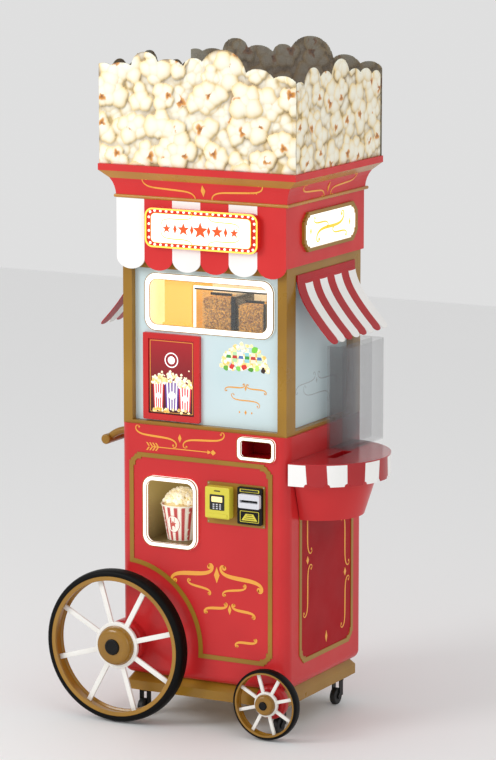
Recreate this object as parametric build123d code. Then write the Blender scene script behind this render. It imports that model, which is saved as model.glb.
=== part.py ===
from build123d import *
import math
import os

# A cart-style popcorn vending machine. Millimetres, +Z up, the customer side faces -Y.
# Sizes are given about the middle of the cabinet; write() then shifts everything along Y,
# so that the origin is on the floor under the middle of the whole machine's box.
origin_shift = 38.0
running_fit = 0.05          # radial clearance of a shaft in its bore
sheet = 2.0                 # folded steel sheet of the cabinet

# cabinet
body_half_x, body_half_y = 331.0, 295.0
body_corner, body_tuck = 35.0, 32.0
body_z = (162.0, 1067.0)
plinth_x, plinth_y = (-313.0, 313.0), (-292.0, 288.0)
plinth_z = (103.0, 136.0, 162.0)
frame_half_x, frame_half_y = 322.0, 286.0
frame_z = (1067.0, 1655.0)
post_x, post_front_y, post_rear_y = 35.0, 68.0, 59.0
rail_height, panel_recess, panel_thick = 12.0, 25.0, 4.0
top_rail_z = 1622.0
head_half_x, head_y, head_z = 332.0, (-306.0, 291.0), (1655.0, 1866.0)

# openings and fittings of the front: x and z spans
window_outer, window_inner = ((-246.0, 262.0), (1400.0, 1604.0)), ((-227.0, 238.0), (1421.0, 1583.0))
window_pane = ((-232.0, 243.0), (1416.0, 1588.0))
screen_outer, screen_inner = ((-250.0, -25.0), (1084.0, 1392.0)), ((-229.0, -47.0), (1106.0, 1372.0))
slot_outer, slot_inner = ((138.0, 285.0), (977.0, 1060.0)), ((152.0, 274.0), (989.0, 1048.0))
pickup_outer, pickup_inner = ((-235.0, -20.0), (637.0, 889.0)), ((-221.0, -33.0), (651.0, 874.0))
pay_plate = ((19.0, 246.0), (742.0, 891.0))
reader = ((26.0, 122.0), (767.0, 878.0))
bill_bezel, bill_body = ((143.0, 239.0), (753.0, 884.0)), ((154.0, 228.0), (765.0, 872.0))
bill_mouth, bill_slit = ((155.0, 236.0), (813.0, 862.0)), ((160.0, 230.0), (832.0, 842.0))
window_proud, screen_proud, slot_proud, pickup_proud = 8.0, 14.0, 10.0, 14.0
reader_depth, bezel_depth, mouth_depth, plate_thick = 31.0, 11.0, 15.0, 4.0
bill_back, tray_back = -180.0, -200.0
inlet_opening = ((-254.0, -226.0), (255.0, 275.0))
vent_x, vent_z, vent_count, vent_pitch = (60.0, 240.0), (215.0, 221.0), 6, 15.0

# inside the cabinet
bay_x, bay_y, bay_z = (-232.0, -22.0), (-286.0, -60.0), (649.0, 880.0)
door_travel = 227.0
chute_x, chute_y = (-172.0, -98.0), (-152.0, -78.0)
popper_x, popper_y, popper_z = (-195.0, -75.0), (-232.0, -55.0), (1385.0, 1424.0, 1600.0)
hopper_y, hopper_wall = (-228.0, -100.0), 3.0
hopper_places = [((-40.0, 78.0), (1385.0, 1545.0)), ((98.0, 205.0), (1385.0, 1527.0))]
control_x, control_y, control_z = (-250.0, -60.0), (-255.0, -200.0), (1110.0, 1350.0)
cup_at, cup_height = (-136.0, -205.0), 128.0
cup_radius, cup_fill_top = (49.0, 73.0), 845.0

# trims, scallops and stripes
trim_x, trim_z, trim_width, trim_thick = (-294.0, 273.0), (251.0, 967.0), 16.0, 3.0
side_trim_y, side_trim_z = (-205.0, 215.0), (245.0, 958.0)
notch_radius, notch_shoulder = 24.0, 7.0
valance_count, valance_tip, valance_cusp = 6, 1619.0, 1660.0
awning_y, awning_count, awning_thick = (-214.0, 232.0), 8, 3.0
awning_curve = [(322, 1614), (331, 1573), (345, 1539), (367, 1506), (392, 1474), (421, 1441), (466, 1394)]

# cornice: z, half width in x, front y, rear y
cove_levels = [(1878, 335, -309, 294), (1892, 336.5, -310.5, 295), (1906, 339.5, -313, 298),
               (1921, 345, -317, 303), (1935, 353, -323, 310)]
band_levels = [(1935, 353, -323, 310), (1962, 385, -345, 331)]
cap_half_x, cap_y, cap_z = 386.0, (-346.0, 332.0), (1962.0, 1985.0)
bead_half_x, bead_y, bead_z = 341.6, (-313.0, 307.0), (1866.0, 1878.0)

# popcorn cut-outs on the roof: (x or y of a valley, its z, z of the lobe that ends there)
topper_thick = 6.0
long_outline = [(-384, 2327, 0), (-338, 2322, 2334), (-246, 2320, 2338), (-154, 2340, 2378),
                (-44, 2322, 2356), (25, 2344, 2364), (184, 2310, 2397), (296, 2302, 2337), (384, 2288, 2317)]
short_outline = [(-337, 2285, 0), (-262, 2268, 2296), (-150, 2290, 2338), (-60, 2282, 2318), (66, 2296, 2352),
                 (160, 2290, 2310), (250, 2276, 2304), (322, 2262, 2290)]

# shelf with its waste bin, on the right-hand side
shelf_at, shelf_radius, shelf_z = (331.0, -48.0), 250.0, (966.0, 982.0)
shelf_back = 334.5
skirt_z, skirt_count = (902.0, 978.0), 11
bin_radius, bin_z = (158.0, 222.0), (765.0, 966.0)
waste_slot = ((402.0, 438.0), (-144.0, -8.0))
holder_x, holder_y, holder_z = (331.0, 428.0), (7.0, 277.0), (982.0, 1345.0)

# push handle, on the left-hand side
bar_at, bar_radius, bar_half = (-430.0, 985.0), 18.0, 232.0
arm_y, arm_radius, arm_root_z = 205.0, 13.0, 1022.0

# show wheels: centre x, centre z, tyre radius, rim radius, front y, width, hub radius, cap radius
spoke_count, spoke_phase = 8, 16.5
big = dict(x=-308.4, z=278.0, tyre=275.4, rim=253.0, lip=9.0, front=395.0, width=57.0,
           flange=87.0, hub=68.0, cap=29.0, nose=408.0, spoke=17.0, axle=12.0,
           boss=80.0, boss_front=333.0, boss_back=263.0)
small = dict(x=274.4, z=129.0, tyre=125.4, rim=115.8, lip=6.0, front=360.0, width=36.0,
             flange=45.0, hub=36.0, cap=14.5, nose=374.0, spoke=11.0, axle=8.0,
             boss=60.0, boss_front=320.0, boss_back=290.0)

# castors
castor_names = ["front_left", "front_right", "rear_left", "rear_right"]
castor_x, castor_y, castor_trail = 272.0, 224.0, 20.0
castor_radius, castor_width, castor_axle, kingpin = 30.0, 22.0, 4.0, 5.0
castor_top, castor_plate = 103.0, 6.0

# service door at the back
door_x, door_z, door_y = (-300.0, 300.0), (330.0, 1640.0), (296.3, 312.0)
door_opening = ((-275.0, 275.0), (345.0, 1030.0))
hinge_at, hinge_radius, hinge_pin = (-304.0, 304.0), 7.0, 4.0
hinge_heights, knuckle = [450.0, 985.0, 1520.0], 28.0
lock_at, lock_shaft = (262.0, 980.0), 6.0


def block(x, y, z):
    """A box from three (low, high) pairs."""
    size = [high - low for low, high in (x, y, z)]
    middle = [(high + low) / 2 for low, high in (x, y, z)]
    return Pos(*middle) * Box(*size)


def grown(span, by):
    """A (low, high) pair made wider by the same amount at both ends."""
    return (span[0] - by, span[1] + by)


def rounded(spans, radius=0.0):
    """A rectangle from two (low, high) pairs, with round corners."""
    (a0, a1), (b0, b1) = spans
    middle = Pos((a0 + a1) / 2, (b0 + b1) / 2)
    if radius:
        return middle * RectangleRounded(a1 - a0, b1 - b0, radius)
    return middle * Rectangle(a1 - a0, b1 - b0)


def along_y(outline, y):
    """An XZ outline made solid from y[0] to y[1]."""
    return extrude(Plane.XZ.offset(-y[1]) * outline, amount=y[1] - y[0])


def along_x(outline, x):
    """A YZ outline made solid from x[0] to x[1]."""
    return extrude(Plane.YZ.offset(x[0]) * outline, amount=x[1] - x[0])


def along_z(outline, z):
    """An XY outline made solid from z[0] to z[1]."""
    return extrude(Plane.XY.offset(z[0]) * outline, amount=z[1] - z[0])


def both_sides(solid):
    """The solid and its mirror image on the other side of the cabinet."""
    return [solid, mirror(solid, about=Plane.YZ)]


def write(node, solids):
    """Shifts a node's solids to the machine's own origin and saves them."""
    moved = [Pos(0, origin_shift, 0) * solid for solid in solids]
    export_step(moved[0] if len(moved) == 1 else Compound(children=moved), f"parts/{node}.step")


def notched(spans):
    """A rectangle whose corners are bitten out by a quarter circle between two small shoulders."""
    (a0, a1), (b0, b1) = spans
    face = rounded(spans)
    for a, b in ((a0, b0), (a1, b0), (a1, b1), (a0, b1)):
        face -= Pos(a, b) * Circle(notch_radius)
        face -= Pos(a, b) * Rectangle(2 * (notch_radius + notch_shoulder), 2 * notch_shoulder)
        face -= Pos(a, b) * Rectangle(2 * notch_shoulder, 2 * (notch_radius + notch_shoulder))
    return face


def plinth_form(inset, top):
    """The plinth's outer form, or with an inset the hollow below it."""
    x, y = grown(plinth_x, -inset), grown(plinth_y, -inset)
    base = along_z(rounded((x, y), 12), (plinth_z[0], plinth_z[1] - inset))
    low = Plane.XY.offset(plinth_z[1] - inset) * rounded((x, y), 12)
    inner = body_tuck + inset
    high = Plane.XY.offset(top) * rounded((grown((-body_half_x, body_half_x), -inner),
                                           grown((-body_half_y, body_half_y), -inner)), 12)
    return base + loft([low, high])


def body_form(inset):
    """The red cabinet's outer form: upright corners rounded, lower edge rolled under."""
    outline = RectangleRounded(2 * (body_half_x - inset), 2 * (body_half_y - inset), body_corner - inset)
    form = along_z(outline, (body_z[0] + inset, body_z[1] - inset))
    return fillet(form.faces().sort_by(Axis.Z)[0].edges(), body_tuck - inset)


def lower_shell():
    shell = body_form(0) - body_form(sheet)
    cut = (-body_half_y - 1, -body_half_y + 3)
    shell -= along_y(rounded(pickup_inner, 28), cut)
    shell -= along_y(rounded((grown(slot_inner[0], 2), grown(slot_inner[1], 2)), 14), cut)
    shell -= along_y(rounded((grown(bill_body[0], 1), grown(bill_body[1], 1))), cut)
    rear = (body_half_y - 3, body_half_y + 1)
    shell -= along_y(rounded(door_opening, 12), rear)
    shell -= along_y(rounded(inlet_opening), rear)
    for row in range(vent_count):
        rise = row * vent_pitch
        shell -= along_y(rounded((vent_x, (vent_z[0] + rise, vent_z[1] + rise)), 2.5), rear)
    shell -= block(grown(chute_x, 1), grown(chute_y, 1), (body_z[1] - 3, body_z[1] + 1))
    return shell


def upper_frame():
    """Four hollow posts tied by rails at the bottom and the top."""
    def tube(x, y):
        return block(x, y, frame_z) - block(grown(x, -3), grown(y, -3), frame_z)

    inner_x = frame_half_x - post_x
    front, rear = (-frame_half_y, -frame_half_y + post_front_y), (frame_half_y - post_rear_y, frame_half_y)
    frame = Part()
    for x in ((-frame_half_x, -inner_x), (inner_x, frame_half_x)):
        frame += tube(x, front) + tube(x, rear)
    bottom, top = (frame_z[0], frame_z[0] + rail_height), (top_rail_z, frame_z[1])
    for z in (bottom, top):
        frame += block((-inner_x, inner_x), (-frame_half_y, -frame_half_y + 22), z)
        frame += block((-inner_x, inner_x), (frame_half_y - 22, frame_half_y), z)
        for x in ((-frame_half_x, -frame_half_x + 22), (frame_half_x - 22, frame_half_x)):
            frame += block(x, (front[1], rear[0]), z)
    return frame


def upper_panels():
    """The pale front panel and the two side panels, set back inside the frame."""
    inner_x = frame_half_x - post_x
    z = (frame_z[0] + rail_height, top_rail_z)
    y = -frame_half_y + panel_recess
    front = along_y(rounded(((-inner_x, inner_x), z)) - rounded(window_pane, 38), (y, y + panel_thick))
    x = frame_half_x - panel_recess
    side = block((x - panel_thick, x), (-frame_half_y + post_front_y, frame_half_y - post_rear_y), z)
    return [front] + both_sides(side)


def ring(outer, inner, radii, y):
    """A flat frame with a rounded outer and inner edge, standing on the face at y[1]."""
    return along_y(rounded(outer, radii[0]) - rounded(inner, radii[1]), y)


def bag_tray():
    """The folded tray behind the bag slot, open at the front."""
    x, z, y = grown(slot_inner[0], 4), grown(slot_inner[1], 4), (-body_half_y + sheet, tray_back)
    return block(x, y, z) - block(grown(x, -sheet), (y[0] - 1, y[1] - sheet), grown(z, -sheet))


def pickup_bay():
    """The sheet-metal bay behind the pickup window, with the guides of its drop door."""
    bay = block(bay_x, bay_y, grown(bay_z, sheet))
    bay -= block(grown(bay_x, -sheet), (bay_y[0] - 1, bay_y[1] - sheet), bay_z)
    flange_x, flange_z = grown(bay_x, 14), (400.0, 892.0)
    flange = block(flange_x, (bay_y[0], bay_y[0] + sheet), flange_z)
    flange -= block(grown(bay_x, -sheet), (bay_y[0] - 1, bay_y[0] + 3), bay_z)
    guides = [block(x, (-body_half_y + sheet, bay_y[0]), flange_z)
              for x in ((flange_x[0], flange_x[0] + 8), (flange_x[1] - 8, flange_x[1]))]
    bay += [flange] + guides
    return bay - block(grown(chute_x, -sheet), grown(chute_y, -sheet), (bay_z[1] - 1, bay_z[1] + 3))


def pickup_door():
    """The clear drop door, stored open below the window."""
    x = grown(bay_x, 5)
    z = (bay_z[0] - 2 - door_travel, bay_z[0] - 2)
    return block(x, (-body_half_y + 3.5, bay_y[0] - 1.5), z)


def popcorn_cup():
    """A tapered paper cup with a rolled rim, and the heap of popcorn that fills it."""
    foot = bay_z[0] + 2.5
    rim = foot + cup_height
    at = Pos(*cup_at, foot + cup_height / 2)
    cup = at * Cone(cup_radius[0], cup_radius[1], cup_height)
    cup -= at * Pos(0, 0, 1.5) * Cone(cup_radius[0] - 1.2, cup_radius[1] - 1.2, cup_height)
    cup += Pos(*cup_at, rim - 2) * Torus(cup_radius[1], 2)
    inner = cup_radius[1] - 2.5
    filled = cup_height - 2
    popcorn = Pos(*cup_at, rim - filled / 2) * Cone(cup_radius[0] - 1.6, inner, filled)
    rise = cup_fill_top - rim
    dome = (inner ** 2 + rise ** 2) / (2 * rise)
    heap = Pos(*cup_at, cup_fill_top - dome) * Sphere(dome)
    around = grown((0, 0), 100)
    popcorn += heap & Pos(*cup_at, 0) * block(around, around, (rim, cup_fill_top + 1))
    return [cup, popcorn]


def bill_acceptor():
    """The banknote validator's bezel and the body behind it, inside the cabinet."""
    back = -body_half_y - plate_thick
    unit = along_y(rounded(bill_bezel, 6), (back - bezel_depth, back))
    return unit + along_y(rounded(bill_body), (back, bill_back))


def bill_mouthpiece():
    """The raised mouth on the validator's bezel, with the slit that takes a note."""
    face = -body_half_y - plate_thick - bezel_depth
    return along_y(rounded(bill_mouth, 5) - rounded(bill_slit), (face - mouth_depth, face))


def card_reader():
    back = -body_half_y - plate_thick
    unit = along_y(rounded(reader, 6), (back - reader_depth, back))
    return fillet(unit.faces().sort_by(Axis.Y)[0].edges(), 2.5)


def payment_plate():
    hole = rounded((grown(bill_body[0], 0.5), grown(bill_body[1], 0.5)))
    return along_y(rounded(pay_plate, 3) - hole, (-body_half_y - plate_thick, -body_half_y))


def front_trim():
    """The raised gold line round the front, cut away in an arc round the big wheel."""
    outline = notched((trim_x, trim_z))
    outline -= Pos(big["x"], big["z"]) * Circle(big["tyre"] + 15)
    inner = offset(outline, amount=-trim_width, kind=Kind.INTERSECTION)
    return along_y(outline - inner, (-body_half_y - trim_thick, -body_half_y))


def side_trim():
    outline = notched((side_trim_y, side_trim_z))
    inner = offset(outline, amount=-trim_width, kind=Kind.INTERSECTION)
    return along_x(outline - inner, (body_half_x, body_half_x + trim_thick))


def head_box():
    outer = block((-head_half_x, head_half_x), head_y, head_z)
    inner_x = grown((-head_half_x, head_half_x), -sheet)
    return outer - block(inner_x, grown(head_y, -sheet), (head_z[0] + sheet, head_z[1] + 1))


def valance_strip(index):
    """One hanging strip: straight sides and a half-ellipse below."""
    width = 2 * head_half_x / valance_count
    middle = -head_half_x + width * (index + 0.5)
    top = rounded(((middle - width / 2, middle + width / 2), (valance_cusp, head_z[1])))
    tongue = Pos(middle, valance_cusp) * Ellipse(width / 2, valance_cusp - valance_tip)
    return along_y(top + tongue, (head_y[0] - 5, head_y[0]))


marquee_x, marquee_z = (-207.0, 234.0), (1703.0, 1841.0)
light_x, light_z = (-180.0, 207.0), (1721.0, 1823.0)
marquee_back, marquee_face = head_y[0] - 5, head_y[0] - 23


def marquee_case():
    case = along_y(rounded((marquee_x, marquee_z), 30), (marquee_face, marquee_back))
    rim = ring((marquee_x, marquee_z), (grown(marquee_x, -5), grown(marquee_z, -5)), (30, 25),
               (marquee_face - 3, marquee_face))
    light = along_y(rounded((light_x, light_z), 20), (marquee_face - 4, marquee_face))
    return [case + rim, light]


def marquee_bulbs():
    """A row of bulbs all round the sign, about 23 mm apart."""
    mid_x, mid_z = sum(marquee_x) / 2, sum(marquee_z) / 2
    half_x = (marquee_x[1] + light_x[1]) / 2 - mid_x - 1
    half_z = (marquee_z[1] + light_z[1]) / 2 - mid_z - 1
    across, upright = 18, 5
    spots = [(mid_x - half_x + 2 * half_x * i / across, mid_z + side * half_z)
             for i in range(1, across) for side in (-1, 1)]
    spots += [(mid_x + side * half_x, mid_z - half_z + 2 * half_z * i / upright)
              for i in range(1, upright) for side in (-1, 1)]
    spots += [(mid_x + a * (half_x - 5), mid_z + b * (half_z - 5)) for a in (-1, 1) for b in (-1, 1)]
    half = block((-9, 9), (-9, 0), (-9, 9))
    bulb = Sphere(4.6) & half
    return [Pos(x, marquee_face, z) * bulb for x, z in spots]


def side_sign():
    """A lit panel in a gold frame with bitten corners, on the side of the head."""
    outer = notched(((-192.0, 221.0), (1698.0, 1836.0)))
    inner = offset(outer, amount=-12, kind=Kind.INTERSECTION)
    frame = along_x(outer - inner, (head_half_x, head_half_x + 10))
    panel = along_x(inner, (head_half_x, head_half_x + 5))
    return [frame, panel]


def tier(levels, inset):
    """A frame of sloping boards through a list of levels, hollow inside."""
    def form(by):
        return loft([Plane.XY.offset(z) * rounded(((-half + by, half - by), (front + by, rear - by)))
                     for z, half, front, rear in levels], ruled=True)

    return form(0) - form(inset)


def cornice_gold():
    """The gold bead under the cove and the sloping gold band over it."""
    x = (-bead_half_x, bead_half_x)
    bead = block(x, bead_y, bead_z)
    bead = fillet(bead.edges().filter_by(Axis.Z, reverse=True), 5)
    bead -= block(grown(x, -12), grown(bead_y, -12), grown(bead_z, 1))
    return [bead, tier(band_levels, 3)]


def cornice_cap():
    x = (-cap_half_x, cap_half_x)
    return block(x, cap_y, cap_z) - block(grown(x, -3), grown(cap_y, -3), (cap_z[0] - 1, cap_z[1] - 3))


def topper_face(lobes):
    """A cut-out board: straight foot and ends, and a top edge of rounded lobes."""
    start, end, foot = lobes[0], lobes[-1], cap_z[1]
    edges = [Line((start[0], foot), (start[0], start[1]))]
    for (a, low_a, _), (b, low_b, peak) in zip(lobes, lobes[1:]):
        edges.append(ThreePointArc((a, low_a), ((a + b) / 2, peak), (b, low_b)))
    edges.append(Line((end[0], end[1]), (end[0], foot)))
    edges.append(Line((end[0], foot), (start[0], foot)))
    return make_face(edges)


def awning():
    """A stiff curved sheet of stripes, each with a round end, that hangs out from the frame."""
    line = Spline(awning_curve, tangents=[(0.15, -1), (0.72, -0.69)])
    steps = [i / 12 for i in range(13)]
    over = [line @ t for t in steps]
    under = [(line @ t) - awning_thick * (line % t).rotate(Axis.Z, 90) for t in steps]
    ends = [Line(over[-1], under[-1]), Line(under[0], over[0])]
    section = make_face([Spline(over), ends[0], Spline(under[::-1]), ends[1]])
    shell = along_y(section, awning_y)
    width = (awning_y[1] - awning_y[0]) / awning_count
    tip = awning_curve[-1][0]
    plan = rounded(((frame_half_x, tip - 16), awning_y))
    for i in range(awning_count):
        plan += Pos(tip - 16, awning_y[0] + width * (i + 0.5)) * Ellipse(16, width / 2)
    return shell & along_z(plan, (1300.0, 1700.0))


def half_disc(radius, back):
    """The part of a disc about the shelf's centre that stands clear of the cabinet."""
    disc = Pos(*shelf_at) * Circle(radius)
    return disc & rounded(((back, back + 400), (shelf_at[1] - 400, shelf_at[1] + 400)))


def shelf_top():
    top = along_z(half_disc(shelf_radius, shelf_back), (skirt_z[1], shelf_z[1]))
    top += along_z(half_disc(shelf_radius - 3.5, shelf_back), (shelf_z[0], skirt_z[1]))
    return top - along_z(rounded(waste_slot, 4), grown(shelf_z, 1))


def shelf_skirt():
    """The striped skirt round the shelf, notched between its scallops."""
    band = half_disc(shelf_radius, shelf_back) - Pos(*shelf_at) * Circle(shelf_radius - 3)
    skirt = along_z(band, skirt_z)
    for i in range(1, skirt_count):
        angle = math.radians(-90 + 180 * i / skirt_count)
        x = shelf_at[0] + shelf_radius * math.cos(angle)
        y = shelf_at[1] + shelf_radius * math.sin(angle)
        skirt -= Pos(x, y, skirt_z[0]) * Rot(0, 0, math.degrees(angle)) * Rot(0, 90, 0) * Cylinder(10, 30)
    return skirt


def shelf_bin():
    """A half-round tapered bin, open at the top under the slot."""
    def form(by, low):
        foot = Plane.XY.offset(low) * half_disc(bin_radius[0] - by, shelf_back + by)
        mouth = Plane.XY.offset(bin_z[1]) * half_disc(bin_radius[1] - by, shelf_back + by)
        return loft([foot, mouth], ruled=True)

    return form(0, bin_z[0]) - form(sheet, bin_z[0] + sheet)


def leaflet_holder():
    """An open-topped clear pocket with two compartments."""
    wall = 3.0
    outline = rounded((holder_x, holder_y), 20) + rounded(((holder_x[0], holder_x[0] + 40), holder_y))
    holder = along_z(outline, holder_z)
    split = holder_x[0] + 50
    for x in ((holder_x[0] + wall, split), (split + wall, holder_x[1] - wall)):
        holder -= along_z(rounded((x, grown(holder_y, -wall)), 14), (holder_z[0] + wall, holder_z[1] + 1))
    return holder


def push_handle():
    """A round bar on two curved arms with wall flanges."""
    bar = Pos(bar_at[0], 0, bar_at[1]) * Rot(90, 0, 0) * Cylinder(bar_radius, 2 * bar_half)
    handle = fillet(bar.edges(), 5)
    for y in (-arm_y, arm_y):
        bend = ThreePointArc((-body_half_x, arm_root_z), (-388, 1014), bar_at)
        path = Plane.XZ.offset(-y) * bend
        arm = sweep(Plane(origin=path @ 0, z_dir=path % 0) * Circle(arm_radius), path=path)
        flange = Pos(-body_half_x - 3, y, arm_root_z) * Rot(0, 90, 0) * Cylinder(27, 6)
        handle += arm + flange
    return handle & block((-600, -body_half_x), (-400, 400), (800, 1200))


def profile(points):
    """A closed outline of (radius, height) points turned about the wheel's own axis."""
    return revolve(Plane.XZ * make_face(Polyline(points, close=True)), axis=Axis.Z)


def on_axle(wheel, solid):
    """Places a solid made about +Z on a wheel's axis, with +Z towards the customer side."""
    return Pos(wheel["x"], 0, wheel["z"]) * Rot(90, 0, 0) * solid


def wheel_tyre(wheel):
    depth = wheel["tyre"] - wheel["rim"]
    middle = Pos((wheel["tyre"] + wheel["rim"]) / 2, wheel["front"] - wheel["width"] / 2)
    section = Plane.XZ * (middle * Rectangle(depth, wheel["width"]))
    tyre = revolve(section, axis=Axis.Z)
    outer = tyre.edges().filter_by(GeomType.CIRCLE).sort_by(lambda edge: edge.radius)[-2:]
    return on_axle(wheel, fillet(outer, depth * 0.35))


def wheel_rim(wheel):
    """The channel-shaped rim."""
    front, back = wheel["front"], wheel["front"] - wheel["width"]
    rim, lip = wheel["rim"], wheel["rim"] - 2 * wheel["lip"]
    floor, edge = rim - wheel["lip"], 5.0
    body = profile([(rim, back), (rim, front), (lip, front), (lip, front - edge), (floor, front - 2 * edge),
                    (floor, back + 2 * edge), (lip, back + edge), (lip, back)])
    return on_axle(wheel, body)


def wheel_spokes(wheel):
    """The round flange on the axle and the flat spokes that run from its edge to the rim."""
    middle = wheel["front"] - wheel["width"] / 2
    flange, floor = wheel["flange"], wheel["rim"] - wheel["lip"]
    bore = wheel["axle"] + running_fit
    pieces = [profile([(bore, middle - 8), (flange, middle - 8), (flange, middle + 8), (bore, middle + 8)])]
    plate = Pos(0, 0, middle) * Cylinder(flange, 20)
    ends = Pos(0, 0, middle) * Cylinder(floor, 20)
    for i in range(spoke_count):
        turn = Rot(0, 0, spoke_phase + 360 * i / spoke_count)
        bar = turn * Pos((flange + floor) / 2, 0, middle) * Box(floor - flange + 20, wheel["spoke"], 8)
        pieces.append((bar & ends) - plate)
    return [on_axle(wheel, piece) for piece in pieces]


def wheel_hub(wheel):
    """The domed hub cover in front of the flange, a short barrel behind it, and the black cap."""
    middle = wheel["front"] - wheel["width"] / 2
    bore, hub, cap = wheel["axle"] + running_fit, wheel["hub"], wheel["cap"]
    low, high = middle + 8, wheel["nose"] - 6
    rise = high - low
    shoulder, crown = (hub, low + 0.35 * rise), (cap + 3, high)
    bulge = (cap + 0.78 * (hub - cap), low + 0.8 * rise)
    edges = [Line((bore, low), (hub, low)), Line((hub, low), shoulder),
             ThreePointArc(shoulder, bulge, crown),
             Line(crown, (bore, high)), Line((bore, high), (bore, low))]
    dome = revolve(Plane.XZ * make_face(edges), axis=Axis.Z)
    back, face, radius = middle - 22, middle - 8, 0.6 * hub
    barrel = profile([(bore, back), (radius, back), (radius, face), (bore, face)])
    nose = Pos(0, 0, (high + wheel["nose"]) / 2) * Cylinder(cap, wheel["nose"] - high)
    nose = fillet(nose.edges().sort_by(Axis.Z)[-1], 3)
    return [on_axle(wheel, solid) for solid in (dome, barrel, nose)]


def wheel_mount(wheel):
    """The fixed boss on the cabinet with its stub axle."""
    depth = wheel["boss_front"] - wheel["boss_back"]
    middle = (wheel["boss_front"] + wheel["boss_back"]) / 2
    boss = Pos(0, 0, middle) * Cylinder(wheel["boss"], depth)
    boss = fillet(boss.edges().sort_by(Axis.Z)[-1], 12)
    boss -= Pos(0, 0, middle - 8) * Cylinder(wheel["boss"] - 6, depth)
    root, end = wheel["boss_front"] - 2, wheel["nose"] - 8
    axle = Pos(0, 0, (root + end) / 2) * Cylinder(wheel["axle"], end - root)
    mount = on_axle(wheel, boss + axle)
    return mount - body_form(0) - plinth_form(0, plinth_z[2])


def castor_spots():
    return [(x, y) for y in (-castor_y, castor_y) for x in (-castor_x, castor_x)]


def castor_plate_at(x, y):
    low = castor_top - castor_plate
    plate = Pos(x, y, low + castor_plate / 2) * Box(64, 64, castor_plate)
    pin_foot = low - 13
    return plate + Pos(x, y, (low + pin_foot) / 2) * Cylinder(kingpin, low - pin_foot)


def castor_fork(x, y):
    """The swivel head with two legs down to the wheel's axle, which it carries."""
    high, low = castor_top - castor_plate - 0.5, castor_top - castor_plate - 13
    crown = Cylinder(19, high - low) - Cylinder(kingpin + running_fit, high - low)
    crown = Pos(x, y, (high + low) / 2) * crown
    hub_y = y - castor_trail
    fork = crown
    for side in (-1, 1):
        inner = x + side * (castor_width / 2 + 1.5)
        span = tuple(sorted((inner, inner + side * 4)))
        outline = Pos(hub_y, castor_radius) * Circle(11)
        outline += Pos(y - 7, (low + castor_radius) / 2 + 6) * Rectangle(26, low - castor_radius + 12)
        fork += along_x(outline, span)
    fork += Pos(x, hub_y, castor_radius) * Rot(0, 90, 0) * Cylinder(castor_axle, castor_width + 6)
    return fork


def castor_wheel(x, y):
    wheel = Cylinder(castor_radius, castor_width)
    wheel = fillet(wheel.edges(), 4) - Cylinder(castor_axle + running_fit, castor_width)
    return Pos(x, y - castor_trail, castor_radius) * Rot(0, 90, 0) * wheel


def rear_door():
    """A folded pan over the whole back, deeper above where the frame is set back, with hinge knuckles."""
    pan = block(door_x, door_y, door_z)
    pan -= block(grown(door_x, -sheet), (door_y[0] - 1, door_y[1] - sheet), grown(door_z, -sheet))
    upper = (body_z[1] + 5, door_z[1])
    deep = block(door_x, (frame_half_y + 1.3, door_y[0]), upper)
    inside_y, inside_z = (frame_half_y, door_y[0] + 1), (upper[0] - 1, upper[1] - sheet)
    pan += deep - block(grown(door_x, -sheet), inside_y, inside_z)
    barrel = Cylinder(hinge_radius, knuckle) - Cylinder(hinge_pin + running_fit, knuckle)
    for z in hinge_heights:
        pan -= Pos(*hinge_at, z + knuckle / 2 + 0.5) * Cylinder(hinge_pin + 2, knuckle)
        pan += Pos(*hinge_at, z + knuckle / 2 + 0.5) * barrel
        pan -= Pos(*hinge_at, z - knuckle / 2) * Cylinder(hinge_radius + 1, knuckle + 0.6)
    return pan - along_y(Pos(*lock_at) * Circle(lock_shaft + running_fit), grown(door_y, 5))


def door_hinges():
    """The fixed leaf, knuckle and pin of each hinge."""
    leaves = []
    for z in hinge_heights:
        face = frame_half_y if z > body_z[1] else body_half_y
        leaf = block((-frame_half_x + 2, hinge_at[0] - 3), (face, hinge_at[1] - 2), (z - knuckle, z))
        leaf += Pos(*hinge_at, z - knuckle / 2) * Cylinder(hinge_radius, knuckle)
        leaf += Pos(*hinge_at, z + knuckle / 2 - 1) * Cylinder(hinge_pin, knuckle)
        leaves.append(leaf)
    return leaves


def door_lock():
    """A T-handle on the outside and a cam behind the cabinet's rear edge, stored unlocked."""
    x, z = lock_at
    lock = along_y(Pos(x, z) * Circle(20), (door_y[1] + 0.4, door_y[1] + 5))
    lock += along_y(Pos(x, z) * Circle(lock_shaft), (283.0, door_y[1] + 4))
    lock += along_y(Pos(x, z) * RectangleRounded(14, 84, 6), (door_y[1] + 5, door_y[1] + 17))
    lock += along_y(Pos(x, z + 14) * RectangleRounded(14, 44, 5), (284.0, 289.0))
    return lock


def kernel_hoppers():
    """Two clear hoppers, each with a rim round its mouth."""
    hoppers = []
    for x, z in hopper_places:
        inside = block(grown(x, -hopper_wall), grown(hopper_y, -hopper_wall), (z[0] + hopper_wall, z[1] + 1))
        rim = block(grown(x, 5), grown(hopper_y, 5), (z[1] - 8, z[1]))
        rim -= block(x, hopper_y, (z[1] - 9, z[1] + 1))
        hoppers.append(block(x, hopper_y, z) - inside + rim)
    return hoppers


def popping_chamber():
    """The hot-air popper: a base with its blower and heater, under an amber glass hood."""
    floor, top, crown = popper_z
    base = block(popper_x, popper_y, (floor, top))
    base -= block(grown(popper_x, -3), grown(popper_y, -3), (floor - 1, top - 4))
    hood_x, hood_y, hood_z = grown(popper_x, -6), grown(popper_y, -6), (top, crown)
    hood = block(hood_x, hood_y, hood_z)
    hood = fillet(hood.edges().filter_by(Axis.Y).group_by(Axis.Z)[-1], 14)
    hood -= block(grown(hood_x, -3), grown(hood_y, -3), (hood_z[0] - 1, hood_z[1] - 3))
    return [base, hood]


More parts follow.
